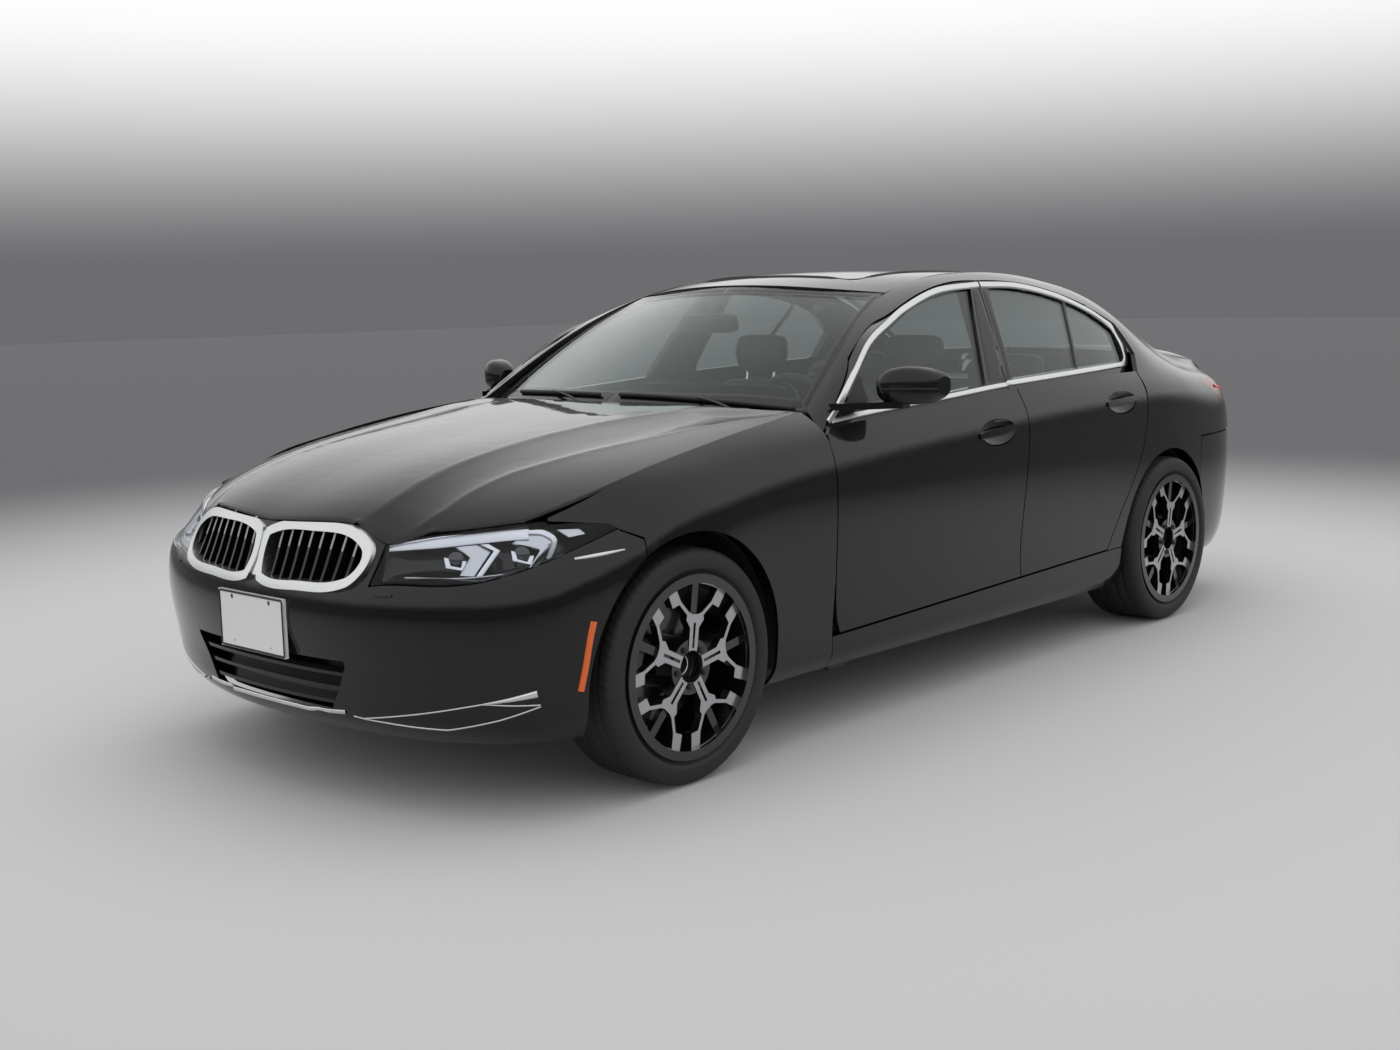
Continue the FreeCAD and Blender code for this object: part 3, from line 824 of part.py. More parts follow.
def mirror_section(y, x0, x1, z0, z1):
    """A rounded closed curve across the mirror cap at one y."""
    cx, cz, rx, rz = (x0 + x1) / 2, (z0 + z1) / 2, (x1 - x0) / 2, (z1 - z0) / 2
    pts = []
    for k in range(16):
        a = math.radians(22.5 * k)
        c, d = math.cos(a), math.sin(a)
        pts.append(V(px(cx + rx * math.copysign(abs(c) ** 0.72, c)), py(y), pz(cz + rz * math.copysign(abs(d) ** 0.72, d))))
    curve = Part.BSplineCurve()
    curve.interpolate(pts, PeriodicFlag=True)
    return Part.Wire([curve.toShape()])


cap = Part.makeLoft([mirror_section(*row) for row in (
    (878, 606, 668, 1022, 1076), (905, 580, 690, 1003, 1100), (950, 552, 688, 995, 1113), (990, 522, 656, 996, 1110),
    (1018, 500, 610, 1003, 1098), (1034, 490, 556, 1020, 1078))], True)
arm_plan = poly((826, 812), (716, 812), (640, 880), (590, 950), (648, 962), (742, 890))
foot = plan_prism(arm_plan, pz(985), pz(1006))
door_frame_room = slab(glass_net, size("frame_thickness") + 2 * size("seat_clearance"), OUT_Y, -size("seat_clearance"))
mirror_left = solid(cap.fuse(foot).cut(door_frame_room).cut([front_door, front_pane]))
node("mirror_left", mirror_left)
node("mirror_right", mirror(mirror_left))

# Inside the cabin

dash = side_prism([[(895, 640), (895, 900)], [(895, 900), (830, 958), (700, 968), (560, 940), (505, 880)], [(505, 880), (540, 740)],
                   [(540, 740), (640, 640)], [(640, 640), (895, 640)]], -py(690), py(690))
wheel_c = V(px(395), py(370), pz(905))
column_dir = V(1, 0, -0.42).normalize()
wheel = Part.makeTorus(size("steering_wheel_radius") - 15, 15, wheel_c, column_dir)
column = rod(wheel_c - column_dir * 30, wheel_c + column_dir * 260, 32)
spoke_w = rod(wheel_c + V(0, -170, 0), wheel_c + V(0, 170, 0), 13)
tunnel_full = Part.makeCylinder(120, px(895) - px(-1010), V(px(-1010), 0, floor_low + FLOOR), V(1, 0, 0))
console = box(px(-420), px(700), -105, 105, floor_low + FLOOR + 60, pz(560)).cut(tunnel_full)
dash = solid(dash.fuse([column, wheel, spoke_w, console]))
node("dashboard", dash)


def seat(y, wide, x_front, x_back, back_top, head):
    base = side_prism([[(x_front, 330), (x_front + 12, 400), (x_front - 20, 462)], [(x_front - 20, 462), (x_back + 90, 430)],
                       [(x_back + 90, 430), (x_back, 330)], [(x_back, 330), (x_front, 330)]], y - wide / 2, y + wide / 2)
    back = side_prism([[(x_back + 120, 400), (x_back + 60, 700), (x_back - 40, back_top)], [(x_back - 40, back_top), (x_back - 100, back_top)],
                       [(x_back - 100, back_top), (x_back - 50, 700), (x_back - 10, 380)], [(x_back - 10, 380), (x_back + 120, 400)]],
                      y - wide / 2, y + wide / 2)
    rest = side_prism([[(x_back - 30, back_top + 20), (x_back - 45, back_top + head)], [(x_back - 45, back_top + head), (x_back - 125, back_top + head - 8)],
                       [(x_back - 125, back_top + head - 8), (x_back - 105, back_top + 10)], [(x_back - 105, back_top + 10), (x_back - 30, back_top + 20)]],
                      y - 135, y + 135)
    posts = [rod(V(px(x_back - 72), y + d, pz(back_top - 20)), V(px(x_back - 80), y + d, pz(back_top + 60)), 8) for d in (-70, 70)]
    return base, back, rest, posts


front_seat = []
base, back, rest, posts = seat(py(size("seat_offset")), size("seat_width"), 330, -190, 1010, 175)
feet = box(px(-150), px(260), py(size("seat_offset")) - 200, py(size("seat_offset")) + 200, floor_low + FLOOR, pz(335))
one_seat = solid(base.fuse([back, rest, feet] + posts))
bench_parts = []
base, back, rest, posts = seat(0, 2 * py(560), -520, -960, 940, 0.5)
low = box(px(-940), px(-560), -py(560), py(560), floor_low + FLOOR, pz(335)).cut(tunnel_full)
heads = []
for y in (-py(360), py(360)):
    heads.append(side_prism([[(-975, 930), (-1000, 1085)], [(-1000, 1085), (-1075, 1080)], [(-1075, 1080), (-1050, 925)], [(-1050, 925), (-975, 930)]], y - 130, y + 130))
bench = solid(base.fuse([back, low] + heads))
node("seats", Part.makeCompound([one_seat, mirror(one_seat), bench]))

# Exhaust, plates

bends = [V(px(1080), 0, pz(200)), V(px(-1100), 0, pz(164)), V(px(-1480), 0, pz(164)), V(px(-1800), 0, pz(258))]
pipe = rod(bends[0], bends[1], size("exhaust_radius"))
for a, b in zip(bends[1:], bends[2:]):
    pipe = pipe.fuse([Part.makeSphere(size("exhaust_radius"), a), rod(a, b, size("exhaust_radius"))])
exhaust_low = box(px(-2180), px(-1760), -py(420), py(420), pz(225), pz(300))
tips = [rod(V(px(-2150), s * TIP_Y, TIP_Z), V(px(-2235), s * TIP_Y, TIP_Z), size("tailpipe_radius")) for s in (1, -1)]
links = [rod(V(px(-2150), s * py(400), TIP_Z), V(px(-2150), s * (TIP_Y + 20), TIP_Z), size("exhaust_radius")) for s in (1, -1)]
node("exhaust", solid(pipe.fuse([exhaust_low] + tips + links)))
front_end, rear_end = px(2356.5), px(-2356.5)
pw, ph, pt = size("plate_width"), size("plate_height"), size("plate_thickness")
plate = box(LENGTH / 2 - pt, LENGTH / 2, -pw / 2, pw / 2, pz(PLATE_UP) - ph / 2, pz(PLATE_UP) + ph / 2)
node("front_plate", solid(plate.cut(Part.makeCompound(holes)).cut(bumper)))

doc.recompute()
for obj in NODES:
    state = [s for s in obj.State if s in ("Invalid", "Error")]
    if state or obj.Shape.isNull() or not obj.Shape.isValid():
        raise RuntimeError("%s did not build: %s" % (obj.Label, state))
if len({obj.Label for obj in NODES}) != len(NODES):
    raise RuntimeError("two pieces share a name")
os.makedirs("parts", exist_ok=True)
for old in os.listdir("parts"):
    os.remove(os.path.join("parts", old))
for obj in NODES:
    obj.Shape.exportStep(os.path.join("parts", obj.Label + ".step"))
    b = obj.Shape.BoundBox
    print("%-18s %2d solids %8.2f l  x %7.1f %7.1f  y %7.1f %7.1f  z %7.1f %7.1f" % (
        obj.Label, len(obj.Shape.Solids), obj.Shape.Volume / 1e6, b.XMin, b.XMax, b.YMin, b.YMax, b.ZMin, b.ZMax))
print(len(NODES), "pieces")
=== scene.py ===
# %% [markdown]
# # A four-door sedan car, dressed over its fixed frame
# The CAD parts arrive packed, each already riding on the body that moves it. This file
# gives every one of them a finish, and lays finer pieces over those whose real surface
# has more to show: tyres, lamps, bright trim, seats, and the things seen through glass.
# Every new shape is a surface of two parameters, worked out as whole numpy arrays.

# %% Load the frame and keep the CAD box
import json
import bmesh
import bpy
import mathutils
import numpy as np
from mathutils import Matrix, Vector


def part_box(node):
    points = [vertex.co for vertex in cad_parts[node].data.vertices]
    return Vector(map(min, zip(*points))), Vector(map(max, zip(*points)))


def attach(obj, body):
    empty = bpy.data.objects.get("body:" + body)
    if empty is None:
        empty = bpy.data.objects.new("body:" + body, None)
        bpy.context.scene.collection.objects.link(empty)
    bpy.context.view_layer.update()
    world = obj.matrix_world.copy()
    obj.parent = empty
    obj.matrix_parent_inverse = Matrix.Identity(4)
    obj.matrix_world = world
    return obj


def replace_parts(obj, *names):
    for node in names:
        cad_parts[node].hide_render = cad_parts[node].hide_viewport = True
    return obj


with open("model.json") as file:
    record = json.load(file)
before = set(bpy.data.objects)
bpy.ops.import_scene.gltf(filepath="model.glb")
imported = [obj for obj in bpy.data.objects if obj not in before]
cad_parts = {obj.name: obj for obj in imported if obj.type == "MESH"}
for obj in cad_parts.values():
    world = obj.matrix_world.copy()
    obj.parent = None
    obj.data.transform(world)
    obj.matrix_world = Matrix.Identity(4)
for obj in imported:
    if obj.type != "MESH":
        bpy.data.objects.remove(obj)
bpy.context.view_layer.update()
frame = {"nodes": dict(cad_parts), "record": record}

# %% [markdown]
# ## Camera
# The photographer stood ahead of the left front corner, with the lens at head height and
# a mild zoom. The place and the turn were solved from the wheels and the plate, so the
# camera is given by numbers instead of being aimed at a target.

# %% Camera
def photo_camera(place, yaw, pitch, roll, lens):
    """Forward = -(cos yaw cos pitch, sin yaw cos pitch, sin pitch); right and up turn by the roll about it."""
    y, p, r = np.radians([yaw, pitch, roll])
    ahead = -np.array([np.cos(y) * np.cos(p), np.sin(y) * np.cos(p), np.sin(p)])
    right = np.cross(ahead, (0, 0, 1.0))
    right /= np.linalg.norm(right)
    up = np.cross(right, ahead)
    right, up = np.cos(r) * right + np.sin(r) * up, -np.sin(r) * right + np.cos(r) * up
    camera = bpy.data.cameras.new("photo_camera")
    camera.lens, camera.sensor_width, camera.clip_end = lens, 36.0, 200.0
    obj = bpy.data.objects.new("photo_camera", camera)
    turn = np.stack([right, up, -ahead], axis=1)
    obj.matrix_world = mathutils.Matrix([[*row, c] for row, c in zip(turn, place)] + [[0, 0, 0, 1]])
    bpy.context.scene.collection.objects.link(obj)
    bpy.context.scene.camera = obj


photo_camera((4.71215, 3.79481, 1.33877), 42.17, 8.14, -1.20, 41.05)
print("camera at", [round(v, 3) for v in bpy.context.scene.camera.matrix_world.translation])

# %% [markdown]
# ## Finishes
# A car shows a handful of finishes: black lacquer, satin and bright metal, glass, rubber,
# leather and moulded plastic. Each is one node tree on Object coordinates. One helper
# adds grain as bump and lets the roughness drift, since no real surface is quite even.

# %% Finish helper
def finish(name, colour, rough, metal=0.0, grain=0.0, scale=800.0, depth=0.0004, spread=0.0, **sockets):
    """Principled shader: height = depth * noise(scale * p), roughness = rough + spread * (2 * noise - 1)."""
    mat = bpy.data.materials.new(name)
    mat.use_nodes = True
    tree = mat.node_tree
    shader = tree.nodes["Principled BSDF"]
    shader.inputs["Base Color"].default_value = (*colour, 1.0)
    shader.inputs["Metallic"].default_value = metal
    shader.inputs["Roughness"].default_value = rough
    for socket, value in sockets.items():
        shader.inputs[socket.replace("_", " ")].default_value = value
    coords = tree.nodes.new("ShaderNodeTexCoord")
    noise = tree.nodes.new("ShaderNodeTexNoise")
    noise.inputs["Scale"].default_value = scale
    noise.inputs["Detail"].default_value = 4.0
    tree.links.new(coords.outputs["Object"], noise.inputs["Vector"])
    if grain:
        bump = tree.nodes.new("ShaderNodeBump")
        bump.inputs["Strength"].default_value = grain
        bump.inputs["Distance"].default_value = depth
        tree.links.new(noise.outputs["Fac"], bump.inputs["Height"])
        tree.links.new(bump.outputs["Normal"], shader.inputs["Normal"])
    if spread:
        span = tree.nodes.new("ShaderNodeMapRange")
        span.inputs["To Min"].default_value = max(rough - spread, 0.01)
        span.inputs["To Max"].default_value = rough + spread
        tree.links.new(noise.outputs["Fac"], span.inputs["Value"])
        tree.links.new(span.outputs["Result"], shader.inputs["Roughness"])
    return mat


def glass(name, tint, clear, mirror):
    """Thin glass: a glossy coat of share mirror + (1 - mirror) * facing^5 over a tinted see-through sheet, the same
    from both sides, so that no light is trapped between the two faces of a pane."""
    mat = bpy.data.materials.new(name)
    mat.use_nodes = True
    tree = mat.node_tree
    tree.nodes.clear()
    out = tree.nodes.new("ShaderNodeOutputMaterial")
    mix = tree.nodes.new("ShaderNodeMixShader")
    through = tree.nodes.new("ShaderNodeBsdfTransparent")
    through.inputs["Color"].default_value = (*[t * clear for t in tint], 1.0)
    coat = tree.nodes.new("ShaderNodeBsdfGlossy")
    coat.inputs["Roughness"].default_value = 0.0
    coat.inputs["Color"].default_value = (1, 1, 1, 1)
    weight, power, share = (tree.nodes.new("ShaderNode" + kind) for kind in ("LayerWeight", "Math", "MapRange"))
    power.operation = "POWER"
    power.inputs[1].default_value = 5.0
    share.inputs["To Min"].default_value = mirror
    tree.links.new(weight.outputs["Facing"], power.inputs[0])
    tree.links.new(power.outputs["Value"], share.inputs["Value"])
    tree.links.new(share.outputs["Result"], mix.inputs["Fac"])
    tree.links.new(through.outputs["BSDF"], mix.inputs[1])
    tree.links.new(coat.outputs["BSDF"], mix.inputs[2])
    tree.links.new(mix.outputs["Shader"], out.inputs["Surface"])
    return mat


# %% The finishes
LACQUER = finish("black_lacquer", (0.003, 0.003, 0.0034), 0.35, scale=2500, Coat_Weight=1.0, Coat_Roughness=0.015,
                 Coat_IOR=1.42,
                 Specular_IOR_Level=0.05, spread=0.04)
GLOSS_BLACK = finish("gloss_black_plastic", (0.004, 0.004, 0.004), 0.14, scale=600, Specular_IOR_Level=0.4,
                     spread=0.03)
MATT_BLACK = finish("grained_black_plastic", (0.012, 0.012, 0.013), 0.6, grain=0.35, scale=1400, depth=0.0003,
                    spread=0.06)
SATIN_METAL = finish("satin_chrome", (0.68, 0.69, 0.70), 0.27, metal=1.0, grain=0.04, scale=900, spread=0.03)
BRIGHT_METAL = finish("bright_chrome", (0.85, 0.86, 0.87), 0.08, metal=1.0, scale=400, spread=0.02)
STEEL = finish("underbody_steel", (0.05, 0.05, 0.052), 0.5, metal=0.6, grain=0.3, scale=120, depth=0.0006,
               spread=0.12)
RUBBER = finish("tyre_rubber", (0.010, 0.010, 0.0105), 0.66, grain=0.3, scale=900, depth=0.0004, spread=0.08)
LEATHER = finish("black_leather", (0.016, 0.015, 0.015), 0.48, grain=0.55, scale=420, depth=0.0008, spread=0.08)
CARPET = finish("floor_carpet", (0.02, 0.02, 0.022), 0.95, grain=0.8, scale=900, depth=0.002, spread=0.03)
PLATE = finish("plate_paint", (0.74, 0.74, 0.75), 0.35, grain=0.1, scale=300, spread=0.05)
MIRROR = finish("mirror_silver", (0.9, 0.9, 0.9), 0.02, metal=1.0, scale=50, spread=0.005)
AMBER = finish("amber_reflector", (0.75, 0.12, 0.006), 0.2, grain=0.5, scale=320, depth=0.001, spread=0.05,
               Coat_Weight=0.6)
WINDOW = glass("window_glass", (0.88, 0.93, 0.92), 0.92, 0.030)
LENS = glass("lamp_lens", (0.96, 0.97, 1.0), 0.97, 0.018)
RED_LENS = finish("red_lens", (0.17, 0.0015, 0.003), 0.2, grain=0.1, scale=260, depth=0.0004, spread=0.04,
                  Specular_IOR_Level=0.2,
                  Coat_Weight=0.6, Coat_Roughness=0.02, Coat_IOR=1.4)
REFLECTOR = finish("lamp_reflector", (0.55, 0.57, 0.6), 0.2, metal=1.0, grain=0.2, scale=260, spread=0.05)
# Pale guide plastic with a faint emission: lamp light in the guides, painted light on the brackets, which are no lamp.
GUIDE_AND_BRACKET_GLOW = finish("guide_and_bracket_glow", (0.62, 0.64, 0.68), 0.25, grain=0.3, scale=500, depth=0.0006, spread=0.06,
                     Emission_Color=(0.9, 0.95, 1.0, 1.0), Emission_Strength=0.12)

BY_SLOT = {"body_paint": LACQUER, "black_trim": GLOSS_BLACK, "dark_plastic": MATT_BLACK, "satin_chrome": SATIN_METAL,
           "window_glass": WINDOW, "lamp_clear": LENS, "lamp_red": RED_LENS, "rim_alloy": SATIN_METAL,
           "tyre_rubber": RUBBER,
           "chassis_steel": STEEL, "cast_metal": STEEL, "seat_cover": LEATHER, "plate_white": PLATE}


def dress(node, mat):
    """Give one CAD node its only material."""
    data = frame["nodes"][node].data
    data.materials.clear()
    data.materials.append(mat)


for part in frame["record"]["subparts"]:
    dress(part["node"], BY_SLOT[part["material_slot"]])

# %% [markdown]
# ## Studio
# Black lacquer shows its surroundings more than its own colour, so the room matters. A
# pale floor carries the shadow, and its colour is a painted pool of light that grows
# dark far off, like a floor lit from above its middle. The world is a soft white ceiling
# over a dark wall, which keeps the flanks black and lets the shoulders and the hood
# catch the white above.

# %% Grid mesh
def grid_mesh(name, points, material, closed_u=False, closed_v=False, smooth=True):
    """Mesh from an (m, n, 3) array: quads between neighbours, wrapped round where closed."""
    m, n = points.shape[:2]
    index = np.arange(m * n).reshape(m, n)
    if closed_u:
        index = np.vstack([index, index[:1]])
    if closed_v:
        index = np.hstack([index, index[:, :1]])
    quads = np.stack([index[:-1, :-1], index[1:, :-1], index[1:, 1:], index[:-1, 1:]], axis=-1).reshape(-1, 4)
    mesh = bpy.data.meshes.new(name)
    mesh.from_pydata(points.reshape(-1, 3).tolist(), [], quads.tolist())
    mesh.polygons.foreach_set("use_smooth", np.full(len(mesh.polygons), smooth))
    mesh.materials.append(material)
    obj = bpy.data.objects.new(name, mesh)
    bpy.context.scene.collection.objects.link(obj)
    return obj


def studio_floor(near, far, start, end):
    """Painted pool of light: the colour goes from near to far as the distance from the middle of the car goes from
    start to end.
    """
    mat = finish("studio_floor", near, 0.75, scale=3, spread=0.05, Specular_IOR_Level=0.1)
    tree = mat.node_tree
    coords, away = tree.nodes.new("ShaderNodeTexCoord"), tree.nodes.new("ShaderNodeVectorMath")
    away.operation = "LENGTH"
    tree.links.new(coords.outputs["Object"], away.inputs[0])
    span = tree.nodes.new("ShaderNodeMapRange")
    span.interpolation_type = "SMOOTHSTEP"
    span.inputs["From Min"].default_value, span.inputs["From Max"].default_value = start, end
    mix = tree.nodes.new("ShaderNodeMix")
    mix.data_type = "RGBA"
    mix.inputs["A"].default_value, mix.inputs["B"].default_value = (*near, 1), (*far, 1)
    tree.links.new(away.outputs["Value"], span.inputs["Value"])
    tree.links.new(span.outputs["Result"], mix.inputs["Factor"])
    tree.links.new(mix.outputs["Result"], tree.nodes["Principled BSDF"].inputs["Base Color"])
    return mat


# The floor's colour is a painted pool of light: pale near the car, dark beyond 8.5 m.
FLOOR = studio_floor((0.52, 0.52, 0.525), (0.12, 0.122, 0.127), 2.8, 8.5)
FLOOR_HALF = 60
tiles = np.linspace(-FLOOR_HALF, FLOOR_HALF, 9)
tiles = np.stack(np.meshgrid(tiles, tiles, indexing="ij") + [np.zeros((9, 9))], axis=-1)
floor = grid_mesh("studio_floor", tiles, FLOOR, smooth=False)
print("floor", 2 * FLOOR_HALF, "m across")

# %% Room light
def soft_room(low, high, turn_low, turn_high):
    """World colour = low below sin(elevation) = turn_low, high above turn_high, and a smooth step between."""
    world = bpy.data.worlds.new("studio")
    bpy.context.scene.world = world
    world.use_nodes = True
    tree = world.node_tree
    coords = tree.nodes.new("ShaderNodeTexCoord")
    parts = tree.nodes.new("ShaderNodeSeparateXYZ")
    step = tree.nodes.new("ShaderNodeMapRange")
    step.interpolation_type = "SMOOTHSTEP"
    step.inputs["From Min"].default_value = turn_low
    step.inputs["From Max"].default_value = turn_high
    ramp = tree.nodes.new("ShaderNodeMix")
    ramp.data_type = "RGBA"
    ramp.inputs["A"].default_value = (*low, 1)
    ramp.inputs["B"].default_value = (*high, 1)
    tree.links.new(coords.outputs["Generated"], parts.inputs["Vector"])
    tree.links.new(parts.outputs["Z"], step.inputs["Value"])
    tree.links.new(step.outputs["Result"], ramp.inputs["Factor"])
    tree.links.new(ramp.outputs["Result"], tree.nodes["Background"].inputs["Color"])
    tree.nodes["Background"].inputs["Strength"].default_value = 1.0


soft_room((0.15, 0.152, 0.158), (1.0, 1.0, 1.0), 0.02, 0.18)


def overhead_lamp(height, size, power):
    """A soft rectangular lamp over the middle of the car: an area lamp that isn't turned shines straight down."""
    light = bpy.data.lights.new("overhead", "AREA")
    light.shape, light.size, light.size_y, light.energy = "RECTANGLE", size[0], size[1], power
    obj = bpy.data.objects.new("overhead", light)
    obj.location = (0.0, 0.0, height)
    obj.visible_glossy = False
    bpy.context.scene.collection.objects.link(obj)


overhead_lamp(7.0, (9, 5), 120)
bpy.context.scene.view_settings.view_transform = "Standard"
print("world", bpy.context.scene.world.name, "lamps", len(bpy.data.lights))

# %% [markdown]
# ## Laying trim on a panel
# Bright strips, blackout film and lamp details all follow the panel that carries them. The
# sure way is to sketch them in one view and let every point fall along that view's
# direction until it meets the panel's own triangles, as chalk lines are struck on a hull.

# %% Falling onto a panel
def triangles(*nodes):
    """All triangles of some CAD nodes as one (k, 3, 3) array in metres."""
    out = []
    for node in nodes:
        mesh = frame["nodes"][node].data
        mesh.calc_loop_triangles()
        verts = np.empty(len(mesh.vertices) * 3)
        mesh.vertices.foreach_get("co", verts)
        index = np.empty(len(mesh.loop_triangles) * 3, dtype=np.int64)
        mesh.loop_triangles.foreach_get("vertices", index)
        out.append(verts.reshape(-1, 3)[index].reshape(-1, 3, 3))
    return np.concatenate(out)


def settle(points, direction, *nodes):
    """Each point moves along the direction to the first triangle it meets, by barycentric weights in the plane
    across it. A point that misses takes the depth of the nearest point that hits."""
    d = np.array(direction, float)
    d /= np.linalg.norm(d)
    u = np.cross(d, (0, 0, 1.0)) if abs(d[2]) < 0.9 else np.array((1.0, 0, 0))
    u /= np.linalg.norm(u)
    basis = np.stack([u, np.cross(d, u), d])
    flat = points.reshape(-1, 3) @ basis.T
    tri = triangles(*nodes) @ basis.T
    low, high = flat.min(0)[:2], flat.max(0)[:2]
    keep = ((tri[:, :, :2].max(1) >= low) & (tri[:, :, :2].min(1) <= high)).all(1)
    a, b, c = np.moveaxis(tri[keep], 1, 0)
    area = (b[:, 0] - a[:, 0]) * (c[:, 1] - a[:, 1]) - (b[:, 1] - a[:, 1]) * (c[:, 0] - a[:, 0])
    solid = np.abs(area) > 1e-12
    a, b, c, area = a[solid], b[solid], c[solid], area[solid]
    depth = np.full(len(flat), np.inf)
    for start in range(0, len(flat), 200):
        p = flat[start:start + 200, None, :]
        wb = ((p[..., 0] - a[:, 0]) * (c[:, 1] - a[:, 1]) - (p[..., 1] - a[:, 1]) * (c[:, 0] - a[:, 0])) / area
        wc = ((b[:, 0] - a[:, 0]) * (p[..., 1] - a[:, 1]) - (b[:, 1] - a[:, 1]) * (p[..., 0] - a[:, 0])) / area
        inside = (wb >= -1e-6) & (wc >= -1e-6) & (wb + wc <= 1 + 1e-6)
        w = a[:, 2] + wb * (b[:, 2] - a[:, 2]) + wc * (c[:, 2] - a[:, 2])
        depth[start:start + 200] = np.where(inside, w, np.inf).min(1)
    met = np.isfinite(depth)
    if not met.all():
        near = ((flat[~met, None, :2] - flat[None, met, :2]) ** 2).sum(-1).argmin(1)
        depth[~met] = depth[met][near]
    return (np.column_stack([flat[:, :2], depth]) @ basis).reshape(points.shape)


# %% Smooth lines
def drawn(*rows):
    """Points measured on the drawing in millimetres, as metres in the car's frame."""
    return (np.array(rows, float) - (3.5, 0, 0)) / 1000.0


def smooth_line(corners, count, ease=1.0):
    """Catmull-Rom line through the corners, resampled at equal steps of length; ease 0 keeps straight runs."""
    c = np.asarray(corners, float)
    ends = np.vstack([2 * c[0] - c[1], c, 2 * c[-1] - c[-2]])
    t = np.linspace(0, len(c) - 1, 40 * (len(c) - 1) + 1)
    k = np.minimum(t.astype(int), len(c) - 2)
    f = (t - k)[:, None]
    p0, p1, p2, p3 = (ends[k + i] for i in range(4))
    curve = 0.5 * (2 * p1 + (p2 - p0) * f + (2 * p0 - 5 * p1 + 4 * p2 - p3) * f ** 2 + (3 * p1 - p0 - 3 * p2 + p3)
                   * f ** 3)
    curve = ease * curve + (1 - ease) * (p1 + (p2 - p1) * f)
    run = np.r_[0, np.cumsum(np.linalg.norm(np.diff(curve, axis=0), axis=1))]
    at = np.linspace(0, run[-1], count)
    return np.stack([np.interp(at, run, curve[:, i]) for i in range(3)], axis=1)


# %% Grids that face outward, and their mirror images
def facing(points, direction):
    """The grid, its rows turned round if its face normals add up to a sum along the direction, so that its faces
    look against it."""
    du, dv = points[1:, :-1] - points[:-1, :-1], points[:-1, 1:] - points[:-1, :-1]
    return points[:, ::-1] if np.cross(du, dv).sum((0, 1)) @ np.array(direction, float) > 0 else points


def pair(name, points, material, bodies, slot, **kind):
    """The grid on the left and its mirror image on the right, each riding on its own body."""
    out = []
    for side, grid, body in (("left", points, bodies[0]), ("right", points[:, ::-1] * (1, -1, 1), bodies[1])):
        obj = grid_mesh("%s_%s" % (name, side), grid, material, **kind)
        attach(obj, body)
        out.append(obj)
    return out


def one(name, points, material, body, slot, **kind):
    """A single grid on one body."""
    obj = grid_mesh(name, points, material, **kind)
    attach(obj, body)
    return obj


# %% A bar and a film
def strip(line, width, direction, nodes, crown=0.0025, lift=0.0008, rows=7, calm=9):
    """A bar along a line: two tracks a quarter width either side settle on the panel, their run is evened by a bell
    weighted moving average, and the bar lies on the plane between them, its back raised by lift + crown * (1 - t^4),
    its edges turned down."""
    d = np.array(direction, float) / np.linalg.norm(direction)
    run = np.gradient(line, axis=0)
    across = np.cross(run, d)
    across /= np.linalg.norm(across, axis=1, keepdims=True)
    width = np.broadcast_to(width, (len(line),))[:, None]
    tracks = settle(np.stack([line - across * width / 4, line + across * width / 4]), d, *nodes)
    deep = tracks @ d
    weights = np.hanning(calm + 2)[1:-1]
    deep = np.stack([np.convolve(np.pad(row, calm // 2, mode="edge"), weights / weights.sum(),
                                 "valid") for row in deep])
    tracks = tracks + (deep - tracks @ d)[..., None] * d
    middle, slope = tracks.mean(0), (tracks[1] - tracks[0]) * 2
    t = np.r_[-1, np.linspace(-1, 1, rows), 1]
    height = lift + crown * (1 - t ** 4)
    height[[0, -1]] = -0.002
    rise = np.cross(slope, run)
    rise /= np.linalg.norm(rise, axis=1, keepdims=True)
    rise *= np.where(rise @ d > 0, -1, 1)[:, None]
    points = middle[:, None] + slope[:, None] * t[None, :, None] / 2 + rise[:, None] * height[None, :, None]
    return facing(points, d)


def film(edge_a, edge_b, direction, nodes, rows=9, lift=0.001):
    """A skin between two lines: (1 - t) * a + t * b, settled on the panel, with its rim turned down into it."""
    t = np.linspace(0, 1, rows)[None, :, None]
    base = settle(edge_a[:, None, :] * (1 - t) + edge_b[:, None, :] * t, direction, *nodes)
    d = np.array(direction, float) / np.linalg.norm(direction)
    height = np.full(base.shape[:2], lift)
    height[[0, -1]] = -0.001
    height[:, [0, -1]] = -0.001
    return facing(base - d * height[..., None], d)


# %% A tube, and a weld that closes a piece
def tube(path, radius, sides=14, flat=1.0, hint=None):
    """A pipe: centre + radius * (cos a * side + flat * sin a * up), with both ends drawn in to a point."""
    run = np.gradient(path, axis=0)
    run /= np.linalg.norm(run, axis=1, keepdims=True)
    side = np.cross(run, hint or ((0, 0, 1.0) if np.abs(run[:, 2]).mean() < 0.8 else (0, 1.0, 0)))
    side /= np.linalg.norm(side, axis=1, keepdims=True)
    up = np.cross(side, run)
    a = np.linspace(0, 2 * np.pi, sides, endpoint=False)[None, :, None]
    radius = np.broadcast_to(radius, (len(path),))[:, None, None]
    ring = path[:, None] + radius * (np.cos(a) * side[:, None] + flat * np.sin(a) * up[:, None])
    return np.concatenate([np.repeat(path[:1, None], sides, axis=1), ring, np.repeat(path[-1:, None], sides, axis=1)])


def seal(obj):
    """Weld coincident points, so that poles and turned edges close, and point all faces outward."""
    bm = bmesh.new()
    bm.from_mesh(obj.data)
    bmesh.ops.remove_doubles(bm, verts=bm.verts, dist=1e-6)
    bmesh.ops.recalc_face_normals(bm, faces=bm.faces)
    bm.to_mesh(obj.data)
    bm.free()
    return obj


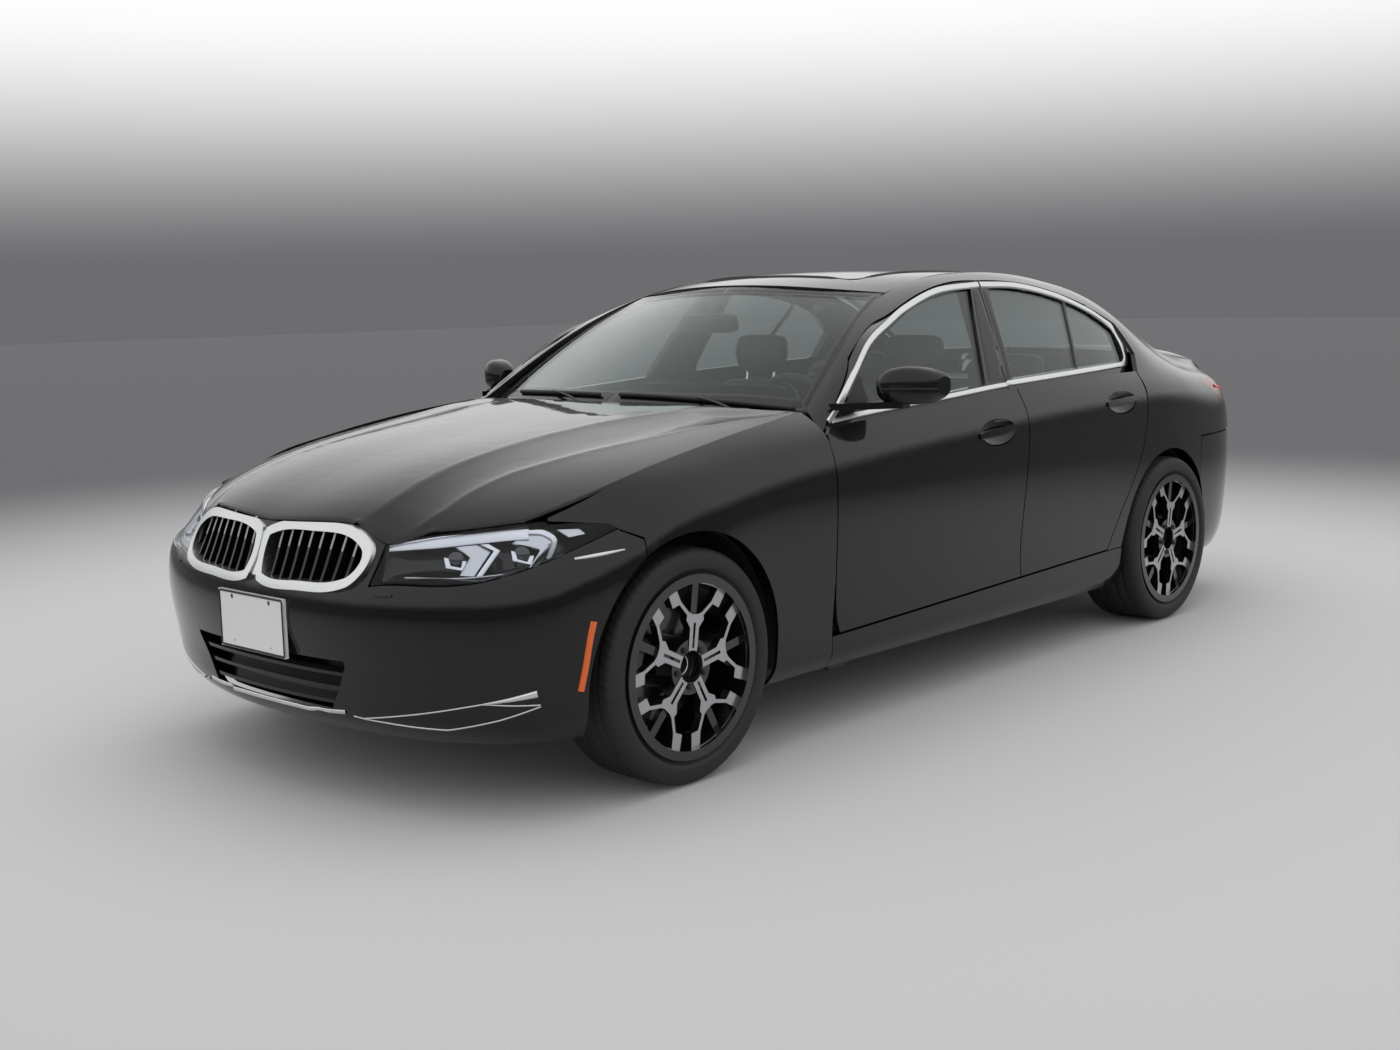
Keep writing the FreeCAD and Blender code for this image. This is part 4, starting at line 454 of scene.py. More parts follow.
DOORS_F, DOORS_R = ("door_front_left", "door_front_right"), ("door_rear_left", "door_rear_right")
ROOT = ("root", "root")
LID = ("trunk_lid", "trunk_lid")
IN, OUT = (0, -1, 0), (0, 1, 0)
FORWARD, BACKWARD = (1, 0, 0), (-1, 0, 0)
DOWN, UP = (0, 0, -1), (0, 0, 1)


# %% A drawn line as a bar on both sides, and squared waves
def trim(name, corners, count, width, direction, nodes, material, bodies, slot, ease=1.0, **kind):
    """A strip along the smooth line through measured corners, on the left and mirrored on the right."""
    line = smooth_line(drawn(*corners), count, ease)
    pair(name, strip(line, width, direction, nodes, **kind), material, bodies, slot)


def signed(wave, power):
    """sign(wave) * |wave|^power: a small power squares the corners of a circle."""
    return np.sign(wave) * np.abs(wave) ** power

# %% [markdown]
# ## Hood with its creases
# The hood is one pressed sheet with two sharp creases a side: an inner one that starts at
# the corner of the grille opening and an outer one from the lamp to the windscreen's
# corner, with a shallow hollow between. It could be sculpted, but a height added to the
# plain hood is exact: a parabola between the creases and a thin peak along each. The
# plan is a patch stretched between four measured edges, laid on the CAD hood, which it
# stands for. A second sheet below closes it.

# %% Plan of the hood
def edge(corners, count):
    """Plan line through corners, as x, y columns in metres."""
    c = np.array([(*p, 0) for p in corners], float)
    return smooth_line(drawn(*c), count, ease=0.5)[:, :2]


S, T = 76, 140
nose = edge([(2281, 0), (2272, 120), (2263, 190), (2253, 250), (2243, 300), (2238, 350), (2236, 400), (2235, 418),
             (2228, 446), (2206, 480), (2169, 520), (2135, 560), (2105, 600), (2070, 640), (2031, 680), (1996, 715)],
            S)
cowl = edge([(1014, 0), (1011, 120), (1008, 190), (1002, 300), (995, 400), (982, 520), (965, 600), (938, 680),
             (895, 757)], S)
flank = edge([(895, 757), (930, 760), (1000, 767), (1130, 777), (1250, 785), (1355, 788), (1500, 791), (1610, 792),
              (1700, 790), (1790, 781), (1850, 770), (1900, 757), (1930, 746), (1960, 735), (1996, 715)], T)
keel = edge([(1014, 0), (2281, 0)], T)
s, t = np.linspace(0, 1, S)[:, None, None], np.linspace(0, 1, T)[None, :, None]
plan = (1 - s) * keel[None] + s * flank[None] + (1 - t) * cowl[:, None] + t * nose[:, None]
plan -= (1 - s) * (1 - t) * keel[0] + (1 - s) * t * keel[-1] + s * (1 - t) * flank[0] + s * t * flank[-1]
half = settle(np.concatenate([plan, np.full((S, T, 1), 1.5)], axis=-1), DOWN, "hood")
print("hood lies at z", half[..., 2].min().round(3), "to", half[..., 2].max().round(3))

# %% Crease heights
HOLLOW, PEAK, PEAK_REACH = 0.0095, 0.0016, 0.012
INNER_X = [1.10, 1.255, 1.387, 1.587, 1.76, 1.93, 2.10, 2.17, 2.23]
INNER_Y = [0.440, 0.388, 0.355, 0.342, 0.350, 0.356, 0.367, 0.368, 0.355]
OUTER_X = [0.97, 1.13, 1.27, 1.45, 1.59, 1.76, 1.86, 1.98, 2.09, 2.17]
OUTER_Y = [0.745, 0.692, 0.640, 0.604, 0.574, 0.548, 0.530, 0.523, 0.522, 0.500]


def crease_height(x, y):
    """-4 * HOLLOW * q * (1 - q) between the creases, q the share of the way from inner to outer, plus
    PEAK * exp(-|d| / PEAK_REACH) at each, d the distance in y."""
    inner, outer = np.interp(x, INNER_X, INNER_Y), np.interp(x, OUTER_X, OUTER_Y)
    q = (y - inner) / (outer - inner)
    hollow = -4 * HOLLOW * q * (1 - q) * ((q > 0) & (q < 1))
    peaks = PEAK * (np.exp(-np.abs(y - inner) / PEAK_REACH) + np.exp(-np.abs(y - outer) / PEAK_REACH))
    return hollow + peaks


def ease_in(v, span):
    """Smooth step 3v^2 - 2v^3 of v / span."""
    v = np.clip(v / span, 0, 1)
    return v * v * (3 - 2 * v)


def away(grid, side):
    """Distance of each point from the point of its own row or column that lies on one side of the grid."""
    return np.linalg.norm(grid - side, axis=-1)


FADE, TO_NOSE, TO_COWL = 0.07, 0.6, 1.6
flat = half[:, :, :2]
to_edge = np.minimum.reduce([away(flat, flat[:, -1:]) / TO_NOSE, away(flat, flat[:, :1]) / TO_COWL,
                             away(flat, flat[-1:])])
half[..., 2] += crease_height(half[..., 0], half[..., 1]) * ease_in(to_edge, FADE)
whole = np.concatenate([half[::-1] * (1, -1, 1), half[1:]])
print("hollow at its middle", round(float(crease_height(1.7, 0.45)) * 1000, 2), "mm")

# %% Skin with turned edges, and the lining below
HEM, RIBS = 0.007, 0.017
rim = np.minimum.reduce([away(whole, whole[:1]), away(whole, whole[-1:]), away(whole, whole[:, :1]),
                         away(whole, whole[:, -1:])])
under = whole - (0, 0, 1.0) * (HEM + RIBS * ease_in(rim - 0.012, 0.03))[..., None]
skin = np.pad(whole, ((1, 1), (1, 1), (0, 0)), mode="edge")
skin[[0, -1]] -= (0, 0, HEM)
skin[:, [0, -1]] -= (0, 0, HEM)
skin[[0, 0, -1, -1], [0, -1, 0, -1]] += (0, 0, HEM)
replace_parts(one("hood_skin", facing(skin, DOWN), LACQUER, "hood", "body_paint"), "hood")
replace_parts(one("hood_lining", facing(under, UP), MATT_BLACK, "hood", "dark_plastic"), "hood")
print("hood skin", skin.shape[:2], "lining", under.shape[:2])

# %% [markdown]
# ## Bright surround of the side windows
# One satin strip runs round all the side glass, straight along the belt and over the arch
# of the roof, and grows wide at the rear kink. It is pressed metal clipped to the door
# frames, so it parts where the doors part. A swept bar with a crowned back gives its one
# long highlight.

# %% Side window surround
trim("belt_strip_front", [(-186, 900, 1009), (-58, 900, 1003), (250, 900, 986), (560, 900, 971), (720, 900, 962),
                          (838, 900, 953)],
     90, 0.019, IN, ("front_door_left",), SATIN_METAL, DOORS_F, "satin_chrome")
trim("arch_strip_front", [(852, 860, 951), (786, 860, 993), (647, 860, 1092), (517, 860, 1183), (369, 860, 1242),
                          (222, 860, 1291), (-8, 860, 1343), (-281, 860, 1361)],
     130, 0.021, IN, ("front_door_left",), SATIN_METAL, DOORS_F, "satin_chrome")
rear_loop = smooth_line(drawn((-291, 800, 1361), (-539, 800, 1355), (-790, 800, 1318), (-1005, 800, 1257),
                              (-1128, 800, 1202), (-1163, 800, 1164), (-1168, 800, 1110), (-1156, 800, 1068),
                              (-1120, 800, 1043), (-1000, 800, 1037), (-700, 800, 1028), (-236, 800, 1014),
                              (-200, 800, 1011)), 220)
KINK_X, KINK_REACH = -1.172, 0.045
bend = np.exp(-((rear_loop[:, 0] - KINK_X) / KINK_REACH) ** 2)
widths = 0.021 + 0.020 * bend
rear_loop[:, 0] -= 0.006 * bend
pair("window_strip_rear", strip(rear_loop, widths, IN, ("rear_door_left",)), SATIN_METAL, DOORS_R, "satin_chrome")
print("window strip widths, mm", (widths[[0, -1]] * 1000).round(1), "at the kink",
      round(float(widths.max()) * 1000, 1))

# %% [markdown]
# ## Pillars and the small black pieces between the panes
# The middle post wears gloss-black covers, one on each door, a thin black bar divides the
# small rear pane, and a black triangle fills the sharp front corner where the mirror
# stands. All are films: two edge lines and straight rows between them.

# %% Door pillar covers, rear divider, mirror triangle
post_a = smooth_line(drawn((-226, 850, 1342), (-138, 850, 1180), (-70, 850, 1018)), 40)
post_b = smooth_line(drawn((-270, 850, 1342), (-243, 850, 1190), (-206, 850, 1022)), 40)
post_c = smooth_line(drawn((-292, 850, 1342), (-256, 850, 1200), (-212, 850, 1026)), 40)
post_d = smooth_line(drawn((-330, 850, 1342), (-290, 850, 1200), (-244, 850, 1030)), 40)
pair("post_cover_front", film(post_a, post_b, IN, ("front_door_left",)), GLOSS_BLACK, DOORS_F, "black_trim")
pair("post_cover_rear", film(post_c, post_d, IN, ("rear_door_left",)), GLOSS_BLACK, DOORS_R, "black_trim")
trim("quarter_bar", [(-852, 700, 1290), (-790, 700, 1170), (-724, 700, 1040)], 40, 0.026, IN, ("rear_glass_left",),
     GLOSS_BLACK, DOORS_R, "black_trim", crown=0.004)
corner_low = smooth_line(drawn((612, 800, 986), (700, 800, 984), (768, 800, 981)), 24)
corner_high = smooth_line(drawn((612, 800, 1095), (690, 800, 1038), (768, 800, 984)), 24)
pair("mirror_triangle", film(corner_low, corner_high, IN, ("front_glass_left",)), MATT_BLACK, DOORS_F, "black_trim")
print("pieces between the panes laid")

# %% [markdown]
# ## Windscreen border, wipers and inside mirror
# The bonded glass has a black fired border that hides the glue, widest along the cowl.
# Wipers rest just above it. The inside mirror hangs from the glass near the roof. The
# border is a film on the pane; arms and blades are pipes laid on it.

# %% Borders of the bonded panes
AFT = (-1, 0, -0.35)
FORE = (1, 0, -0.35)


def border(name, outer, inner, direction):
    """Film between an outer and an inner line of a pane, made for both halves of the car."""
    outer, inner = smooth_line(drawn(*outer), 50), smooth_line(drawn(*inner), 50)
    pair(name, film(outer, inner, direction, ("body_glass",), rows=5, lift=0.0006), GLOSS_BLACK, ROOT, "black_trim")


border("screen_border_low", [(978, 2, 990), (962, 250, 989), (899, 500, 986), (824, 718, 984)],
       [(896, 2, 1026), (880, 250, 1025), (818, 490, 1022), (776, 690, 1010)], AFT)
border("screen_border_side", [(818, 722, 985), (690, 690, 1080), (535, 648, 1183), (370, 606, 1273),
                              (215, 572, 1333)],
       [(800, 694, 992), (670, 662, 1084), (515, 622, 1188), (352, 580, 1277), (236, 552, 1326)], AFT)
border("screen_border_top", [(344, 2, 1370), (325, 215, 1364), (272, 420, 1348), (210, 566, 1334)],
       [(380, 2, 1350), (360, 212, 1345), (306, 410, 1330), (250, 545, 1318)], AFT)
border("back_border_top", [(-996, 2, 1382), (-1010, 280, 1370), (-1052, 560, 1340)],
       [(-1040, 2, 1366), (-1054, 275, 1354), (-1098, 535, 1322)], FORE)
border("back_border_side", [(-1052, 562, 1338), (-1195, 584, 1290), (-1355, 606, 1221), (-1520, 624, 1141),
                            (-1680, 636, 1070)],
       [(-1080, 536, 1330), (-1200, 556, 1289), (-1360, 576, 1219), (-1520, 594, 1141), (-1640, 606, 1088)], FORE)

print("glass borders laid")

# %% Wipers
blade_long = settle(smooth_line(drawn((905, 690, 1006), (925, 480, 1012), (940, 240, 1016), (930, 30, 1012)), 60),
                    AFT, "body_glass")
blade_short = settle(smooth_line(drawn((940, -60, 1012), (925, -250, 1014), (890, -430, 1012), (850, -570, 1008)),
                                 60), AFT, "body_glass")
lean = np.array((0.5, 0, 0.86))
for name, blade, foot in (("left", blade_long, (990, 600, 976)), ("right", blade_short, (1004, -60, 978))):
    one("wiper_blade_" + name, tube(blade + lean * 0.008, 0.0055, flat=1.3), MATT_BLACK, "root", "dark_plastic",
        closed_v=True)
    reach = np.linspace(0, 1, 40)[:, None]
    middle = blade[len(blade) // 2] + lean * 0.016
    arm = (1 - reach) * drawn(foot) + reach * middle + lean * 0.012 * np.sin(np.pi * reach)
    one("wiper_arm_" + name, tube(arm, 0.0075 - 0.003 * reach[:, 0], flat=0.6), MATT_BLACK, "root", "dark_plastic",
        closed_v=True)


print("wiper blades", len(blade_long), "and", len(blade_short), "rings")


# %% Inside mirror
def pillow(centre, half, power=4.0, count=(48, 32), turn=0.0):
    """Superellipsoid |x/a|^p + |y/b|^p + |z/c|^p = 1 by signed powers of sines and cosines, leaned about y."""
    u = np.linspace(0, 2 * np.pi, count[0], endpoint=False)[:, None]
    v = np.linspace(-np.pi / 2, np.pi / 2, count[1])[None, :]
    cu, su, cv, sv = (signed(wave, 2.0 / power) for wave in (np.cos(u), np.sin(u), np.cos(v), np.sin(v)))
    p = np.stack([cv * cu, cv * su, sv + 0 * u], axis=-1) * half
    c, s = np.cos(turn), np.sin(turn)
    return np.stack([c * p[..., 0] + s * p[..., 2], p[..., 1], -s * p[..., 0] + c * p[..., 2]], axis=-1) + centre


seal(one("inside_mirror", pillow((0.445, 0.0, 1.245), (0.012, 0.125, 0.034), 5.0, turn=0.25), MATT_BLACK, "root",
         "dark_plastic", closed_u=True))
one("inside_mirror_stalk", tube(np.linspace((0.455, 0, 1.25), (0.468, 0, 1.296), 12), 0.011), MATT_BLACK, "root",
    "dark_plastic", closed_v=True)

print("inside mirror hung")

# %% [markdown]
# ## Roof
# A glass panel sits in the roof, with a thin dark joint all round and a blind drawn under
# it, so from outside it looks nearly black. The joint is a flat rubber bar.

# %% Sunroof joint and blind
ABOVE, SQUARED, BLIND_DROP = 1.6, 0.16, 0.024
ring = np.linspace(0, 2 * np.pi, 181)
loop = np.stack([-0.3235 + 0.436 * signed(np.cos(ring), SQUARED), 0.392 * signed(np.sin(ring), SQUARED),
                 ABOVE + 0 * ring], axis=1)
joint = strip(smooth_line(loop, 260, ease=0), 0.012, DOWN, ("roof_panel", "body_glass"), crown=0.001, lift=0.0004)
one("sunroof_joint", joint, MATT_BLACK, "root", "black_trim")
blind = np.meshgrid(np.linspace(-0.745, 0.10, 30), np.linspace(-0.38, 0.38, 24), indexing="ij")
blind = np.stack(blind + [np.full((30, 24), ABOVE)], axis=-1)
blind = settle(blind, DOWN, "body_glass") - (0, 0, BLIND_DROP)
one("sunroof_blind", facing(blind, DOWN), MATT_BLACK, "root", "dark_plastic")
print("sunroof joint", joint.shape[:2], "blind", blind.shape[:2])

# %% [markdown]
# ## Tyres
# A road tyre is a ring with a cambered tread, deep grooves round it, fine cross cuts and a
# ribbed wall. Both are functions of the angle and of the way round the section, so one
# grid holds them: the section comes from a short list of points on the CAD profile, and
# the grooves are taken off its radius. It stands for the plain ring of the frame.

# %% Tyre surface
AXLES = {"front": (1.551, 0.793, 0.225), "rear": (-1.300, 0.798, 0.255)}
CENTRE_Z = 0.331


def tyre_grid(x, mid, wide, around=432, across=76):
    """r(v), y(v) from the section, turned by the angle u; the tread's r loses grooves round the ring and cuts across
    it, and low ribs are added to the wall."""
    half, r0, r1 = wide / 2, 0.2413, 0.331
    wall = r1 - r0
    section = np.array([(r0 + 0.003, -0.80), (r0, -0.855), (0.2595, -0.862), (0.2680, -0.90),
                        (r0 + wall * 0.38, -0.985), (r0 + wall * 0.52, -1.0), (r0 + wall * 0.70, -0.985),
                        (r0 + wall * 0.84, -0.945), (r1 - 0.0055, -0.86), (r1 - 0.0022, -0.76), (r1 - 0.0006, -0.5),
                        (r1, 0.0)])
    section = np.vstack([section, section[-2::-1] * (1, -1)])
    line = smooth_line(np.column_stack([section[:, 0], section[:, 1] * half, 0 * section[:, 0]]), across, ease=0.8)
    r, y = line[:, 0][None, :], line[:, 1][None, :]
    u = np.linspace(0, 2 * np.pi, around, endpoint=False)[:, None]
    q = np.abs(y) / half
    grooves = (np.exp(-((q - 0.20) / 0.035) ** 4) + np.exp(-((q - 0.52) / 0.035) ** 4)) * 0.0055
    pitch = (72 * u / (2 * np.pi) + 2.2 * y / half + 0.5 * (y > 0)) % 1.0
    cuts = np.where(pitch < 0.17, 0.0028, 0.0) * np.clip((0.93 - q) / 0.05, 0, 1) * (q > 0.24) * (r > r0 + wall * 0.8)
    cuts = cuts + np.where(((pitch + 0.5) % 1.0) < 0.12, 0.0012, 0.0) * (q < 0.5) * (q > 0.24) * (r > r0 + wall * 0.8)
    shoulder = np.exp(-((r - (r0 + wall * 0.80)) / 0.008) ** 2) * (q > 0.9)
    ribs = 0.0006 * np.cos(2 * np.pi * 96 * u / (2 * np.pi)) * shoulder
    r = r - grooves * (r > r1 - 0.01) - cuts + ribs * 0.5
    return np.stack([x + r * np.cos(u), mid + y + 0 * u, CENTRE_Z + r * np.sin(u)], axis=-1)


for end, (x, mid, wide) in AXLES.items():
    made = pair("tread_" + end, facing(tyre_grid(x, mid, wide), (0, 0, 0)), RUBBER,
                ("wheel_%s_left" % end, "wheel_%s_right" % end),
                "tyre_rubber", closed_u=True, closed_v=True)
    for obj, side in zip(made, ("left", "right")):
        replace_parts(seal(obj), "tyre_%s_%s" % (end, side))
print("tyres laid, faces each", len(made[0].data.polygons))

# %% [markdown]
# ## Wheels and brakes
# The alloy wheel is cast and painted gloss black, then turned on a lathe, which bares
# bright metal on the outermost faces alone. So the finish is chosen by where a point
# lies: facing outward, on the turned plane, and between the hub and the rim's lip.
# Fine rings in the roughness are the marks of the lathe.

# %% Turned and painted alloy
FACES = {"front": 0.88975, "rear": 0.90765}
ALLOY_PAINT, ALLOY_BARE = (0.006, 0.006, 0.0065), (0.47, 0.475, 0.49)
IRON_CAST, IRON_SWEPT = (0.05, 0.05, 0.052), (0.34, 0.335, 0.33)


def sum_node(tree, kind, a, b=None):
    """One Math node; a and b are numbers or the outputs of other nodes."""
    node = tree.nodes.new("ShaderNodeMath")
    node.operation = kind
    for socket, value in zip(node.inputs, (a, b)):
        if hasattr(value, "links"):
            tree.links.new(value, socket)
        elif value is not None:
            socket.default_value = value
    return node.outputs[0]


def bared(tree, mask, painted, bare):
    """Base colour = painted where the mask is 0 and bare where it is 1."""
    mix = tree.nodes.new("ShaderNodeMix")
    mix.data_type = "RGBA"
    mix.inputs["A"].default_value, mix.inputs["B"].default_value = (*painted, 1), (*bare, 1)
    tree.links.new(mask, mix.inputs["Factor"])
    tree.links.new(mix.outputs["Result"], tree.nodes["Principled BSDF"].inputs["Base Color"])


def turned_alloy(name, x, face, side):
    """Bright where face - 0.6 mm < side * y < face + 2 mm, |normal y| > 0.9 and 46 mm < r < 242.5 mm, where r is the
    length of (x, z) from the axle; roughness = 0.16 + mask * (0.12 + 0.05 * sin(9000 r))."""
    mat = finish(name, ALLOY_PAINT, 0.16, scale=500, Coat_Weight=0.6, Coat_Roughness=0.04)
    tree, shader = mat.node_tree, mat.node_tree.nodes["Principled BSDF"]
    coords = tree.nodes.new("ShaderNodeTexCoord")

    def math(*terms):
        return sum_node(tree, *terms)

    place = tree.nodes.new("ShaderNodeSeparateXYZ")
    tree.links.new(coords.outputs["Object"], place.inputs[0])
    normal = tree.nodes.new("ShaderNodeSeparateXYZ")
    tree.links.new(coords.outputs["Normal"], normal.inputs[0])
    dx, dz = math("SUBTRACT", place.outputs[0], x), math("SUBTRACT", place.outputs[2], CENTRE_Z)
    r = math("SQRT", math("ADD", math("MULTIPLY", dx, dx), math("MULTIPLY", dz, dz)))
    outward = math("MULTIPLY", place.outputs[1], side)
    mask = math("GREATER_THAN", outward, face - 0.0006)
    for test, value, limit in (("LESS_THAN", outward, face + 0.002),
                               ("GREATER_THAN", math("ABSOLUTE", normal.outputs[1]), 0.9),
                               ("GREATER_THAN", r, 0.046), ("LESS_THAN", r, 0.2425)):
        mask = math("MULTIPLY", mask, math(test, value, limit))
    rings = math("MULTIPLY", math("SINE", math("MULTIPLY", r, 9000.0)), 0.05)
    bared(tree, mask, ALLOY_PAINT, ALLOY_BARE)
    tree.links.new(mask, shader.inputs["Metallic"])
    tree.links.new(math("ADD", math("MULTIPLY", mask, math("ADD", rings, 0.12)), 0.16), shader.inputs["Roughness"])
    return mat


# %% Hub and brake iron
def braked_steel(name, x):
    """Pale iron with lathe rings where r < 166 mm from the axle and dark cast iron elsewhere; the roughness goes from
    0.26 to 0.42 as sin(2500 r) goes from -1 to 1."""
    mat = finish(name, IRON_CAST, 0.5, metal=0.6, grain=0.3, scale=120, depth=0.0006)
    tree, shader = mat.node_tree, mat.node_tree.nodes["Principled BSDF"]
    coords, centre = tree.nodes.new("ShaderNodeTexCoord"), tree.nodes.new("ShaderNodeMapping")
    centre.inputs["Location"].default_value = (-x, 0, -CENTRE_Z)
    centre.inputs["Scale"].default_value = (1, 0, 1)
    tree.links.new(coords.outputs["Object"], centre.inputs["Vector"])
    r = tree.nodes.new("ShaderNodeVectorMath")
    r.operation = "LENGTH"
    tree.links.new(centre.outputs["Vector"], r.inputs[0])
    span = tree.nodes.new("ShaderNodeMapRange")
    span.inputs["From Min"].default_value = -1.0
    span.inputs["To Min"].default_value = 0.26
    span.inputs["To Max"].default_value = 0.42
    rings = sum_node(tree, "SINE", sum_node(tree, "MULTIPLY", r.outputs["Value"], 2500.0))
    tree.links.new(rings, span.inputs["Value"])
    tree.links.new(span.outputs["Result"], shader.inputs["Roughness"])
    bared(tree, sum_node(tree, "LESS_THAN", r.outputs["Value"], 0.166), IRON_CAST, IRON_SWEPT)
    return mat


for end, (x, mid, wide) in AXLES.items():
    for side, sign in (("left", 1), ("right", -1)):
        dress("rim_%s_%s" % (end, side), turned_alloy("alloy_%s_%s" % (end, side), x, FACES[end], sign))
for node, name, end in (("knuckle_left", "hub_iron_left", "front"), ("knuckle_right", "hub_iron_right", "front"),
                        ("subframes", "hub_iron_rear", "rear")):
    dress(node, braked_steel(name, AXLES[end][0]))
print("wheel and hub finishes made")

# %% [markdown]
# ## Wheel bolts and hub covers
# Five bolts hold each wheel, in the dark pockets between the stems, round a blank cover
# with a thin bright rim. Each is a turned profile, so one function spins it about the
# axle's line, and twelve flat sides make the bolt's head.

# %% Turned pieces
def turned(profile, centre, sides=48):
    """Profile (r, y) spun about the y axis: centre + (r cos a, y, r sin a), rows along the profile."""
    a = np.linspace(0, 2 * np.pi, sides, endpoint=False)[None, :]
    r, y = np.array(profile, float).T[:, :, None]
    return np.stack([centre[0] + r * np.cos(a), centre[1] + y + 0 * a, centre[2] + r * np.sin(a)], axis=-1)


CAPS = {"front": 0.847, "rear": 0.852}
COVER = [(0.0, 0.0022), (0.012, 0.0020), (0.024, 0.0012), (0.0262, 0.0005), (0.0264, -0.0005)]
COVER_RIM = [(0.0268, -0.001), (0.0268, 0.0016), (0.0282, 0.0024), (0.0300, 0.0022), (0.0312, 0.0010),
             (0.0314, -0.001)]
BOLT = [(0.0, 0.010), (0.0055, 0.010), (0.0065, 0.0075), (0.0082, 0.007), (0.0088, 0.0), (0.0, 0.0)]
BOLT_CIRCLE, FIRST_BOLT, BESIDE = 0.056, 134, 1.2
angles = np.radians(FIRST_BOLT + 72 * np.arange(5))
for end, (x, mid, wide) in AXLES.items():
    bodies = ("wheel_%s_left" % end, "wheel_%s_right" % end)
    for name, profile, mat in (("hub_cover_" + end, COVER, GLOSS_BLACK), ("hub_rim_" + end, COVER_RIM, BRIGHT_METAL)):
        for obj in pair(name, facing(turned(profile, (x, CAPS[end], CENTRE_Z)), IN), mat, bodies, "rim_alloy",
                        closed_v=True):
            seal(obj)
    spots = np.stack([x + BOLT_CIRCLE * np.cos(angles), 0 * angles + BESIDE, CENTRE_Z + BOLT_CIRCLE * np.sin(angles)],
                     axis=1)
    for k, seat in enumerate(settle(spots, IN, "rim_%s_left" % end)):
        for obj in pair("bolt_%s_%d" % (end, k + 1), facing(turned(BOLT, seat, 12), IN), STEEL, bodies, "cast_metal",
                        closed_v=True, smooth=False):
            seal(obj)
print("hub covers and", len(angles), "bolts a wheel laid")

# %% [markdown]
# ## Headlamps
# Behind each clear cover stands a black bowl with a pale light bar along its top edge,
# which bends down twice into arrow-shaped guides. A dark lens sits on the inner side of
# each arrow in a small bracket whose faint glow is painted light, and a bright reflector
# fills the outer tip. The CAD solid stays as the cover, and these pieces stand inside it,
# each a bar between two lines measured on its front and then pushed back along the
# lamp's own depth.

# %% Inside the headlamp
DEEP = np.array((-0.735, -0.668, -0.118))


def guide(name, edge_a, edge_b, depth, material, crown=0.003, wall=0.012, count=60, ease=0.6, rows=9):
    """A plate between two lines, pushed back by depth - crown * (1 - t^2), its four edges turned back by the wall."""
    a, b = smooth_line(drawn(*edge_a), count, ease), smooth_line(drawn(*edge_b), count, ease)
    t = np.r_[-1, np.linspace(-1, 1, rows), 1]
    back = depth - crown * (1 - t ** 2)
    back[[0, -1]] = depth + wall
    back = np.broadcast_to(back, (count + 2, rows + 2)).copy()
    back[[0, -1]] = depth + wall
    a, b = np.vstack([a[:1], a, a[-1:]]), np.vstack([b[:1], b, b[-1:]])
    w = (t[None, :, None] + 1) / 2
    points = a[:, None] * (1 - w) + b[:, None] * w + DEEP * back[..., None]
    return pair(name, facing(points, DEEP), material, ROOT, "lamp_clear")


lens_top = smooth_line(drawn((2231, 448, 712), (2202, 600, 744), (2095, 700, 758), (2000, 765, 767), (1890, 805, 762),
                             (1815, 822, 752)), 60)
lens_low = smooth_line(drawn((2240, 448, 626), (2176, 600, 637), (2085, 700, 633), (1985, 775, 655), (1880, 820, 708),
                             (1817, 832, 742)), 60)
t = np.linspace(0, 1, 24)[None, :, None]
front = lens_top[:, None] * (1 - t) + lens_low[:, None] * t
front = settle(front - DEEP * 0.3, DEEP, "headlamps")
u, v = np.linspace(-1, 1, 60)[:, None], np.linspace(-1, 1, 24)[None, :]
bowl = 0.004 + 0.046 * (1 - np.abs(u) ** 10) * (1 - np.abs(v) ** 6)
pair("lamp_bowl", facing(front + DEEP * bowl[..., None], DEEP), GLOSS_BLACK, ROOT, "lamp_clear")

guide("light_bar", [(2226, 452, 718), (2202, 495, 727), (2156, 569, 741), (2107, 638, 748), (2052, 698, 754),
                    (2004, 742, 757)],
      [(2232, 455, 702), (2211, 505, 707), (2167, 582, 714), (2119, 645, 722), (2066, 705, 729), (2018, 757, 733)],
      0.010, GUIDE_AND_BRACKET_GLOW, count=80)
guide("arrow_inner_outline", [(2105, 668, 722), (2093, 708, 708), (2154, 707, 650)],
      [(2094, 686, 724), (2083, 719, 708), (2143, 716, 650)],
      0.010, GUIDE_AND_BRACKET_GLOW, ease=0.0, crown=0.002)
guide("arrow_inner", [(2145, 612, 716), (2136, 660, 692), (2176, 666, 651)],
      [(2109, 662, 722), (2098, 700, 706), (2158, 702, 650)],
      0.016, REFLECTOR, ease=0.0)
guide("arrow_outer", [(2052, 728, 722), (2007, 786, 706), (2048, 788, 666)],
      [(2000, 745, 755), (1962, 803, 728), (1977, 775, 655)],
      0.014, REFLECTOR, ease=0.3)
guide("arrow_outer_outline", [(2006, 744, 754), (1973, 769, 752), (1962, 803, 727), (1975, 780, 660)],
      [(2012, 748, 746), (1985, 772, 742), (1974, 800, 723), (1987, 779, 660)], 0.009, GUIDE_AND_BRACKET_GLOW, ease=0.8,
      crown=0.002)
# The brackets glow faintly: painted light, as they are no lamp.
guide("bracket_inner", [(2176, 606, 692), (2186, 625, 668), (2163, 668, 662), (2148, 660, 684)],
      [(2170, 616, 690), (2178, 633, 673), (2163, 657, 668), (2153, 652, 684)], 0.020, GUIDE_AND_BRACKET_GLOW, ease=0.0,
      crown=0.001, wall=0.006)
guide("bracket_outer", [(2065, 740, 707), (2075, 757, 684), (2046, 794, 674), (2029, 786, 694)],
      [(2058, 749, 704), (2067, 764, 688), (2049, 783, 680), (2036, 779, 694)], 0.020, GUIDE_AND_BRACKET_GLOW, ease=0.0,
      crown=0.001, wall=0.006)
guide("tip_reflector", [(1948, 787, 752), (1933, 815, 732)], [(1893, 819, 750), (1886, 833, 738)], 0.010, REFLECTOR,
      ease=0.0)
